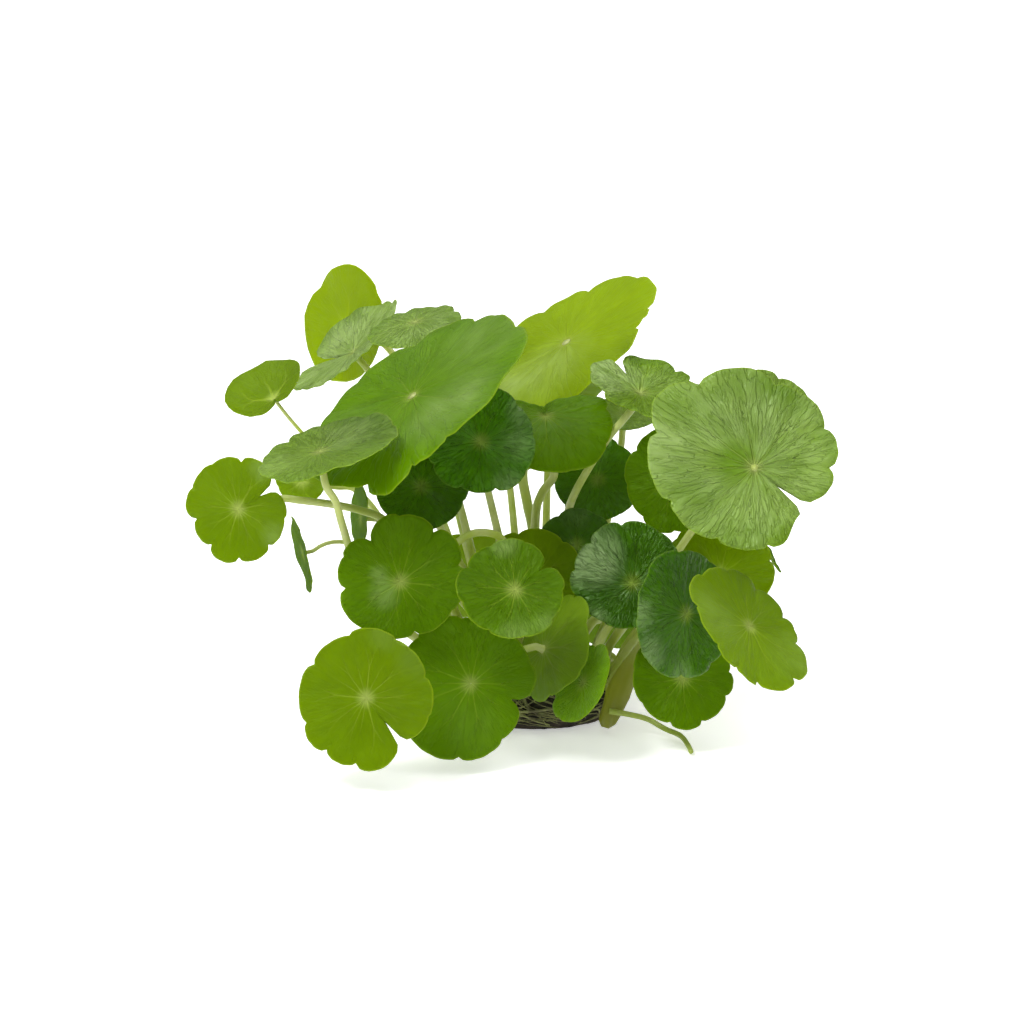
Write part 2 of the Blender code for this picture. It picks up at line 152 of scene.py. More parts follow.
class Look(Enum):
    """The upper skins of the leaves. BACKLIT's brighter, paler greens are painted light: the light that
    shines through leaves from behind.
    """

    # BACKLIT: greens brightened to paint the light that comes through the leaf from behind.
    BACKLIT = BladeFinish(
        name="backlit leaf", deep=(0.135, 0.205, 0.0006), light=(0.165, 0.240, 0.0010),
        crease_shade_colour=(0.09, 0.15, 0.0005), glow=(0.78, 0.88, 0.004), glow_share=0.52, roughness=0.38,
        vein_strength=0.3, fold_shade=0.08, unevenness_and_painted_light=0.1, quilting=0.00016, streaking=0.00010,
        vein=(0.34, 0.40, 0.03), hub=(0.50, 0.56, 0.15), rim=(0.30, 0.40, 0.01), painted_sheen_colour=(0.32, 0.40, 0.14),
        gloss=0.3, gloss_tint=(0.8, 1.0, 0.4), vein_width=0.3,
    )
    YOUNG = BladeFinish(
        name="young leaf", deep=(0.092, 0.160, 0.0003), light=(0.115, 0.190, 0.0004),
        crease_shade_colour=(0.06, 0.12, 0.0003), glow=(0.50, 0.66, 0.001), glow_share=0.40, roughness=0.34,
        vein_strength=0.5, fold_shade=0.05, unevenness_and_painted_light=0.07, quilting=0.00012, streaking=0.00007,
        vein=(0.26, 0.34, 0.03), hub=(0.42, 0.50, 0.12), rim=(0.26, 0.35, 0.01), painted_sheen_colour=(0.24, 0.33, 0.10),
        wrinkles=0.00004,
    )
    MID = BladeFinish(
        name="green leaf", deep=(0.052, 0.116, 0.0002), light=(0.070, 0.146, 0.0003),
        crease_shade_colour=(0.035, 0.085, 0.0003), glow=(0.37, 0.60, 0.001), glow_share=0.36, roughness=0.30,
        vein_strength=0.55, fold_shade=0.06, unevenness_and_painted_light=0.09, quilting=0.00018, streaking=0.00012,
    )
    DEEP = BladeFinish(
        name="deep green leaf", deep=(0.022, 0.084, 0.0001), light=(0.044, 0.136, 0.0002),
        crease_shade_colour=(0.012, 0.045, 0.0002), glow=(0.24, 0.46, 0.001), glow_share=0.26, roughness=0.22,
        vein_strength=0.4, fold_shade=0.25, unevenness_and_painted_light=0.16, quilting=0.00030, streaking=0.00025,
        vein=(0.08, 0.16, 0.01), hub=(0.26, 0.36, 0.05), rim=(0.11, 0.20, 0.01), painted_sheen_colour=(0.24, 0.34, 0.14),
        gloss=0.34, gloss_tint=(0.7, 1.0, 0.5), vein_width=0.3, wrinkles=0.00010,
    )
    # SHEEN is for the leaves with the most painted sheen: paler greens and a grey-green painted sheen colour.
    SHEEN = BladeFinish(
        name="painted sheen leaf", deep=(0.072, 0.145, 0.0004), light=(0.105, 0.185, 0.0008),
        crease_shade_colour=(0.050, 0.110, 0.004), glow=(0.50, 0.68, 0.002), glow_share=0.34, roughness=0.32,
        vein_strength=0.45, fold_shade=0.16, unevenness_and_painted_light=0.16, quilting=0.00034, streaking=0.00022,
        vein=(0.22, 0.32, 0.04), hub=(0.44, 0.52, 0.14), rim=(0.22, 0.34, 0.02), painted_sheen_colour=(0.30, 0.40, 0.14),
        gloss=0.4, gloss_tint=(0.8, 1.0, 0.6), vein_width=0.3, wrinkles=0.00010,
    )
    TURNED = BladeFinish(
        name="turned leaf", deep=(0.052, 0.116, 0.0002), light=(0.080, 0.155, 0.0003),
        crease_shade_colour=(0.035, 0.085, 0.0003), glow=(0.40, 0.62, 0.001), glow_share=0.45, roughness=0.5,
        vein_strength=0.4, fold_shade=0.06, unevenness_and_painted_light=0.1, quilting=0.00018, streaking=0.00010,
        gloss=0.06, gloss_tint=(0.5, 1.0, 0.2),
    )


STALK_SKIN = StemFinish(
    name="stalk", ground=(0.10, 0.115, 0.01), sheath=(0.20, 0.20, 0.002), foot=(0.34, 0.44, 0.04),
    top=(0.56, 0.60, 0.24), streak=(0.66, 0.68, 0.36), glow=(0.72, 0.78, 0.24), glow_share=0.35,
    roughness=0.34,
)
RUNNER_SKIN = replace(STALK_SKIN, name="runner", ground=(0.30, 0.40, 0.04))
SOIL = SoilFinish(
    name="root soil", dark=(0.010, 0.008, 0.004), light=(0.050, 0.038, 0.020), fleck=(0.16, 0.13, 0.07),
    roughness=0.92,
)
ROOT_SKIN = RootFinish(name="fine roots", young=(0.32, 0.33, 0.12), old=(0.09, 0.08, 0.035), roughness=0.6)


# Shader nodes


class Shading:
    """Places nodes in one node tree and wires them up."""

    def __init__(self, tree: bpy.types.NodeTree) -> None:
        """Starts on a tree.

        Args:
            tree: The material's or the group's node tree.
        """
        self.tree = tree

    def node(self, kind: str, inputs: dict | None = None, **settings: object) -> bpy.types.Node:
        """Adds a node.

        Args:
            kind: The node's type name.
            inputs: Socket name or number to a value, or to the output socket that feeds it.
            settings: The node's own settings.

        Returns:
            The node.
        """
        made = self.tree.nodes.new(kind)
        for key, value in settings.items():
            setattr(made, key, value)
        for key, value in (inputs or {}).items():
            if isinstance(value, bpy.types.NodeSocket):
                self.tree.links.new(value, made.inputs[key])
            else:
                made.inputs[key].default_value = value
        return made

    def maths(self, operation: str, *values: object) -> bpy.types.NodeSocket:
        """Adds a Math node and returns its output."""
        return self.node("ShaderNodeMath", dict(enumerate(values)), operation=operation).outputs[0]

    def blend(self, share: object, first: object, second: object) -> bpy.types.NodeSocket:
        """Mixes two colours.

        Args:
            share: How much of the second colour there is, as a value or a socket.
            first: A colour or a socket.
            second: A colour or a socket.

        Returns:
            The mixed colour's socket.
        """
        inputs = {0: share, 6: opaque(first), 7: opaque(second)}
        return self.node("ShaderNodeMix", inputs, data_type="RGBA").outputs[2]

    def span(self, value: object, low: float, high: float) -> bpy.types.NodeSocket:
        """Smooth step of a value from 0 at low to 1 at high."""
        inputs = {0: value, 1: low, 2: high}
        return self.node("ShaderNodeMapRange", inputs, interpolation_type="SMOOTHSTEP").outputs[0]

    def noise(self, place: bpy.types.NodeSocket, scale: object, detail: float = 2.0,
              **more: float) -> bpy.types.NodeSocket:
        """Noise of a scale at a place, from 0 to 1, with more of the node's inputs where they are given."""
        inputs = {"Vector": place, "Scale": scale, "Detail": detail, **more}
        return self.node("ShaderNodeTexNoise", inputs).outputs[0]

    def stretch(self, place: bpy.types.NodeSocket, scale: Point) -> bpy.types.NodeSocket:
        """A place scaled along each axis."""
        return self.node("ShaderNodeVectorMath", {0: place, 1: scale}, operation="MULTIPLY").outputs[0]

    def value(self, attribute: str) -> bpy.types.NodeSocket:
        """A number that the mesh keeps at its points."""
        return self.node("ShaderNodeAttribute", attribute_name=attribute).outputs["Fac"]

    def place(self) -> bpy.types.NodeSocket:
        """Where the surface is, in the object's frame."""
        return self.node("ShaderNodeTexCoord").outputs["Object"]

    def bump(self, height: object, distance: float, **under: object) -> bpy.types.NodeSocket:
        """Relief from a height, on top of another relief that is given as Normal."""
        inputs = {"Height": height, "Strength": 1.0, "Distance": distance, **under}
        return self.node("ShaderNodeBump", inputs).outputs[0]

    def skin(self, colour: object, relief: object, roughness: object) -> bpy.types.Node:
        """The Principled shader of a surface."""
        inputs = {"Base Color": colour, "Normal": relief, "Roughness": roughness}
        return self.node("ShaderNodeBsdfPrincipled", inputs)

    def end(self, shader: bpy.types.Node) -> None:
        """Ends a material with its shader."""
        self.node("ShaderNodeOutputMaterial", {"Surface": shader.outputs[0]})

    def leave(self, leave: bpy.types.Node, **wires: bpy.types.NodeSocket) -> None:
        """Wires the outputs of a group."""
        for label, socket in wires.items():
            self.tree.links.new(socket, leave.inputs[label])


def opaque(colour: object) -> object:
    """A colour with full alpha, or a socket as it is."""
    return (*colour, 1.0) if isinstance(colour, tuple) and len(colour) == 3 else colour


def new_group(name: str, inputs: Sequence[tuple[str, str, float]], outputs: Sequence[str]) -> tuple:
    """Starts a shader node group.

    Args:
        name: The group's name.
        inputs: Name, socket type and default of each input.
        outputs: Name of each output, all of them floats.

    Returns:
        The group's tree, its input node and its output node.
    """
    tree = bpy.data.node_groups.new(name, "ShaderNodeTree")
    for label, kind, start in inputs:
        socket = tree.interface.new_socket(label, in_out="INPUT", socket_type=kind)
        if kind == "NodeSocketFloat":
            socket.default_value = start
    for label in outputs:
        tree.interface.new_socket(label, in_out="OUTPUT", socket_type="NodeSocketFloat")
    return tree, tree.nodes.new("NodeGroupInput"), tree.nodes.new("NodeGroupOutput")


def vein_line(
    shading: Shading, off_middle: object, spread: object, share: object, width: object, reach: float
) -> bpy.types.NodeSocket:
    """Draws one kind of vein, which thins and fades towards the rim.

    Args:
        shading: The tree that it goes into.
        off_middle: Distance from the middle of the lobe, in lobes.
        spread: How far off the middle the vein lies, in lobes.
        share: How far out the place is, from 0 at the hub to 1 at the rim.
        width: The vein's half width near the hub.
        reach: Where it has faded away, as a share of the radius.

    Returns:
        The vein's strength, from 0 to 1.
    """
    off_vein = shading.maths("ABSOLUTE", shading.maths("SUBTRACT", off_middle, spread))
    across = shading.maths("MULTIPLY", off_vein, shading.maths("MAXIMUM", share, 0.05))
    thin = shading.maths("MULTIPLY", width, shading.maths("SUBTRACT", 1.25, share))
    inside = shading.maths("SUBTRACT", 1.0, shading.maths("DIVIDE", across, thin))
    sharp = shading.maths("MAXIMUM", shading.maths("MULTIPLY", inside, 1.8), 0.0)
    crisp = shading.maths("MINIMUM", sharp, 1.0)
    fade = shading.maths("SUBTRACT", 1.0, shading.span(share, reach * 0.3, reach))
    return shading.maths("MULTIPLY", crisp, fade)


def vein_group() -> bpy.types.NodeTree:
    """Makes the group that draws the veins from a blade's own map.

    The map's first value counts lobes round the blade and its second goes from 0 at the hub to 1 at
    the rim. Each lobe has one vein along its middle, which forks on its way out.

    Returns:
        The group's tree.
    """
    tree, entry, leave = new_group(
        "leaf veins",
        [("Map", "NodeSocketVector", 0.0), ("Width", "NodeSocketFloat", 0.02),
         ("Radius", "NodeSocketFloat", 12.0)],
        ["Veins", "Fields", "Hub", "Rim"],
    )
    shading = Shading(tree)
    where, width, radius = (entry.outputs[label] for label in ("Map", "Width", "Radius"))
    parts = shading.node("ShaderNodeSeparateXYZ", {0: where}).outputs
    swing = shading.maths("MULTIPLY", shading.maths("SUBTRACT", shading.noise(where, 2.3), 0.5), 0.1)
    lobe = shading.maths("FRACT", shading.maths("ADD", parts[0], swing))
    off_middle = shading.maths("ABSOLUTE", shading.maths("SUBTRACT", lobe, 0.5))
    past_fork = shading.maths("MAXIMUM", shading.maths("SUBTRACT", parts[1], 0.42), 0.0)
    spread = shading.maths("MULTIPLY", past_fork, 0.5)
    between = shading.maths("SUBTRACT", 0.5, off_middle)
    wide = shading.maths("DIVIDE", width, radius)
    narrow = shading.maths("MULTIPLY", wide, 0.7)
    veins = shading.maths(
        "MAXIMUM", vein_line(shading, off_middle, spread, parts[1], wide, 0.95),
        vein_line(shading, between, 0.0, parts[1], narrow, 0.75),
    )
    spots = {
        "Vector": shading.stretch(where, (3.4, 5.0, 1.0)), "Scale": 1.0, "Randomness": 0.9,
        "Smoothness": 0.8,
    }
    cells = shading.node("ShaderNodeTexVoronoi", spots, feature="SMOOTH_F1").outputs["Distance"]
    from_hub = shading.span(shading.maths("MULTIPLY", parts[1], radius), 0.0, 3.0)
    # Rim masks the thin pale line round the rim, a painted highlight.
    shading.leave(
        leave, Veins=veins, Fields=shading.maths("SUBTRACT", 1.0, shading.span(cells, 0.0, 0.75)),
        Hub=shading.maths("POWER", shading.maths("SUBTRACT", 1.0, from_hub), 1.2),
        Rim=shading.span(parts[1], 0.982, 1.0),
    )
    return tree


def mottle_group() -> bpy.types.NodeTree:
    """Makes the group of uneven growth: broad patches and fine creases.

    Returns:
        The group's tree.
    """
    tree, entry, leave = new_group(
        "uneven growth",
        [("Place", "NodeSocketVector", 0.0), ("Patch Scale", "NodeSocketFloat", 120.0),
         ("Crease Scale", "NodeSocketFloat", 900.0)],
        ["Patches", "Creases"],
    )
    shading = Shading(tree)
    where, patch, crease = (entry.outputs[label] for label in ("Place", "Patch Scale", "Crease Scale"))
    patches = shading.noise(where, patch, 3.0, Roughness=0.55)
    creases = shading.noise(where, crease, 4.0, Roughness=0.6, Distortion=0.8)
    shading.leave(leave, Patches=shading.span(patches, 0.32, 0.70), Creases=creases)
    return tree


def streak_group() -> bpy.types.NodeTree:
    """Makes the group of streaks that run out from the hub: broad ones that break up the painted sheen
    and vary the brightness, fine wrinkles, and crease lines for relief and painted shade.

    Way holds the direction from the hub as two values and the share of the radius as the third.

    Returns:
        The group's tree.
    """
    tree, entry, leave = new_group(
        "streaks from the hub", [("Way", "NodeSocketVector", 0.0)], ["Broad", "Fine", "Lines"]
    )
    shading = Shading(tree)
    way = entry.outputs["Way"]
    broad = shading.noise(shading.stretch(way, (2.6, 2.6, 2.4)), 1.0, 3.0)
    fine = shading.noise(shading.stretch(way, (13.0, 13.0, 5.0)), 1.0, 3.0)
    netted = shading.noise(shading.stretch(way, (11.0, 11.0, 4.0)), 1.0, 2.0)
    off = shading.maths("ABSOLUTE", shading.maths("SUBTRACT", netted, 0.5))
    lines = shading.maths("SUBTRACT", 1.0, shading.span(off, 0.0, 0.06))
    off_hub = shading.span(shading.node("ShaderNodeSeparateXYZ", {0: way}).outputs[2], 0.12, 0.55)
    shading.leave(
        leave, Broad=shading.span(broad, 0.34, 0.66),
        Fine=shading.maths("MULTIPLY", shading.span(fine, 0.3, 0.7), off_hub),
        Lines=shading.maths("MULTIPLY", lines, off_hub),
    )
    return tree


class Materials:
    """Makes each finish into a material once, with the shared groups."""

    def __init__(self) -> None:
        """Builds the shared groups."""
        self.veins = vein_group()
        self.mottle = mottle_group()
        self.streaks = streak_group()
        self.made: dict[str, bpy.types.Material] = {}

    def start(self, name: str) -> tuple[bpy.types.Material, Shading]:
        """Opens an empty material.

        Args:
            name: The material's name.

        Returns:
            The material and a Shading for its tree.
        """
        material = bpy.data.materials.new(name)
        material.use_nodes = True
        material.node_tree.nodes.clear()
        self.made[name] = material
        return material, Shading(material.node_tree)

    def growth(self, shading: Shading, patch: float, crease: float) -> bpy.types.bpy_prop_collection:
        """Places the uneven growth group.

        Args:
            shading: The material's tree.
            patch: The scale of its patches.
            crease: The scale of its creases.

        Returns:
            The group's outputs.
        """
        inputs = {"Place": shading.place(), "Patch Scale": patch, "Crease Scale": crease}
        return shading.node("ShaderNodeGroup", inputs, node_tree=self.mottle).outputs

    def finish_with_glow(self, shading: Shading, skin: bpy.types.Node, glow: Colour, share: float) -> None:
        """Mixes a skin with light that comes through and ends the material.

        Args:
            shading: The material's tree.
            skin: The Principled shader of the skin.
            glow: Colour of the light that comes through.
            share: How much of the shading it is.
        """
        through = shading.node("ShaderNodeBsdfTranslucent", {"Color": (*glow, 1.0)})
        mixed = {0: share, 1: skin.outputs[0], 2: through.outputs[0]}
        shading.end(shading.node("ShaderNodeMixShader", mixed))

    def blade(self, finish: BladeFinish) -> bpy.types.Material:
        """A leaf skin.

        Args:
            finish: Its colours and relief.

        Returns:
            The material, made at the first call.
        """
        if finish.name in self.made:
            return self.made[finish.name]
        material, shading = self.start(finish.name)
        maths, blend = shading.maths, shading.blend
        growth = self.growth(shading, 90.0, 650.0)
        drawn = {
            "Map": shading.node("ShaderNodeUVMap", uv_map="lobes").outputs[0], "Width": finish.vein_width,
            "Radius": shading.value("radius"),
        }
        veins = shading.node("ShaderNodeGroup", drawn, node_tree=self.veins).outputs
        way = shading.node("ShaderNodeAttribute", attribute_name="way").outputs["Vector"]
        streaks = shading.node("ShaderNodeGroup", {"Way": way}, node_tree=self.streaks).outputs
        green = blend(growth["Patches"], finish.deep, finish.light)
        # Painted light and shade: each raised field between the veins is lighter in its middle and darker at
        # its edges, and the broad streaks vary the brightness at random.
        lit = maths("MULTIPLY", veins["Fields"], finish.unevenness_and_painted_light)
        streaky = maths("MULTIPLY", streaks["Broad"], finish.unevenness_and_painted_light)
        lift = maths("ADD", maths("ADD", lit, streaky), 1.0 - finish.unevenness_and_painted_light)
        bright = maths("MULTIPLY", shading.value("tone"), lift)
        toned = shading.node("ShaderNodeVectorMath", {0: green, 3: bright}, operation="SCALE").outputs[0]
        veined = blend(maths("MULTIPLY", veins["Veins"], finish.vein_strength), toned, finish.vein)
        # Painted sheen: the grey-green painted_sheen_colour is laid on where the blade's painted_sheen
        # patches are, broken up by the broad and fine streaks.
        broad = maths("MULTIPLY", streaks["Broad"], 0.45)
        broken = maths("ADD", broad, maths("MULTIPLY", streaks["Fine"], 0.2))
        painted_sheen_share = maths("MULTIPLY", shading.value("painted_sheen"), maths("ADD", broken, 0.35))
        with_painted_sheen = blend(painted_sheen_share, veined, finish.painted_sheen_colour)
        # Painted shade: the crease lines are darkened towards crease_shade_colour.
        crease_shaded = blend(maths("MULTIPLY", streaks["Lines"], finish.fold_shade), with_painted_sheen, finish.crease_shade_colour)
        hubbed = blend(maths("MULTIPLY", veins["Hub"], 0.8), crease_shaded, finish.hub)
        # Painted highlight: a thin pale line round the rim.
        colour = blend(maths("MULTIPLY", veins["Rim"], 0.55), hubbed, finish.rim)
        facing = shading.node("ShaderNodeLayerWeight", {"Blend": 0.5}).outputs["Facing"]
        turned = maths("MULTIPLY", shading.span(facing, 0.6, 1.0), 0.2)
        creases = maths("MULTIPLY", growth["Creases"], 0.14)
        rough = maths("ADD", maths("ADD", creases, turned), finish.roughness - 0.07)
        quilt = shading.bump(maths("SUBTRACT", veins["Fields"], veins["Veins"]), finish.quilting)
        relief = shading.bump(growth["Creases"], finish.wrinkles, Normal=quilt)
        folds = maths("SUBTRACT", streaks["Fine"], streaks["Lines"])
        skin = shading.skin(colour, shading.bump(folds, finish.streaking, Normal=relief), rough)
        skin.inputs["Specular IOR Level"].default_value = finish.gloss
        skin.inputs["Specular Tint"].default_value = (*finish.gloss_tint, 1.0)
        self.finish_with_glow(shading, skin, finish.glow, finish.glow_share)
        return material

    def stem(self, finish: StemFinish) -> bpy.types.Material:
        """A stem skin that pales from foot to top.

        Args:
            finish: Its colours.

        Returns:
            The material, made at the first call.
        """
        if finish.name in self.made:
            return self.made[finish.name]
        material, shading = self.start(finish.name)
        growth = self.growth(shading, 160.0, 1400.0)
        along = shading.value("along")
        length = shading.blend(shading.span(along, 0.0, 1.0), finish.foot, finish.top)
        streaked = shading.blend(shading.maths("MULTIPLY", growth["Patches"], 0.6), length, finish.streak)
        height = shading.node("ShaderNodeSeparateXYZ", {0: shading.place()}).outputs[2]
        ragged = shading.maths("ADD", height, shading.maths("MULTIPLY", growth["Patches"], 0.003))
        grounded = shading.blend(shading.span(ragged, 0.001, 0.009), finish.ground, streaked)
        sheath = shading.maths("MULTIPLY", shading.span(along, -0.1, -0.5), 0.9)
        colour = shading.blend(sheath, grounded, finish.sheath)
        skin = shading.skin(colour, shading.bump(growth["Creases"], 0.00006), finish.roughness)
        self.finish_with_glow(shading, skin, finish.glow, finish.glow_share)
        return material

    def soil(self, finish: SoilFinish) -> bpy.types.Material:
        """Dark soil with paler crumbs.

        Args:
            finish: Its colours.

        Returns:
            The material.
        """
        material, shading = self.start(finish.name)
        growth = self.growth(shading, 260.0, 1300.0)
        ground = shading.blend(growth["Patches"], finish.dark, finish.light)
        flecks = shading.maths("MULTIPLY", shading.span(growth["Creases"], 0.62, 0.72), 0.7)
        colour = shading.blend(flecks, ground, finish.fleck)
        shading.end(shading.skin(colour, shading.bump(growth["Creases"], 0.0005), finish.roughness))
        return material

    def roots(self, finish: RootFinish) -> bpy.types.Material:
        """Fine roots, paler where they are young.

        Args:
            finish: Their colours.

        Returns:
            The material.
        """
        material, shading = self.start(finish.name)
        growth = self.growth(shading, 200.0, 1500.0)
        colour = shading.blend(growth["Patches"], finish.old, finish.young)
        shading.end(shading.skin(colour, shading.bump(growth["Creases"], 0.00005), finish.roughness))
        return material


# Leaves


@dataclass(frozen=True)
class Leaf:
    """One blade and the stalk that carries it.

    joint is where the stalk meets the upper face, faces is the azimuth and elevation that the upper
    face looks to (azimuth 0 is the front, +90 the right), and foot is where the stalk leaves the plug.
    nicks are directions across the blade, from its own right, anticlockwise. sinus is the direction of
    the deep cut, how far from the joint it ends and half its opening. centre is how far the middle of
    the outline lies from the joint, as a direction and a share of the radius. Each swell is a direction,
    half its spread and how much further out the rim reaches there. notch is the depth of the nicks and
    span how wide a lobe is where no nick is given. droop is where the blade bends down: the direction,
    how far out it starts and how sharply it bends, in degrees. via are points that the stalk passes on
    its way down. Without them arrive, lean, rise and reach shape its curve. stalk is its radius at its
    top. tone lightens or darkens the blade. Each painted_sheen patch is a direction and a share of the
    radius for its middle, its size as a share and how much grey-green painted sheen it adds or takes
    away. pleat is the height of the radial folds as a share of the radius.
    """

    name: str
    joint: Point
    width: float
    faces: tuple[float, float]
    foot: tuple[float, float]
    nicks: tuple[float, ...] = ()
    sinus: tuple[float, ...] = ()
    centre: tuple[float, float] = (0.0, 0.0)
    cup: float = 0.06
    droop: tuple[float, ...] = ()
    via: tuple[Point, ...] = ()
    arrive: tuple[float, ...] = ()
    lean: float = 0.25
    rise: float = 0.4
    reach: float = 0.22
    swell: tuple[tuple[float, float, float], ...] = ()
    notch: float = 0.06
    span: float = 40.0
    stalk: float = 0.8
    look: Look = Look.MID
    tone: float = 1.0
    painted_sheen: tuple[tuple[float, float, float, float], ...] = ()
    pleat: float = 0.006
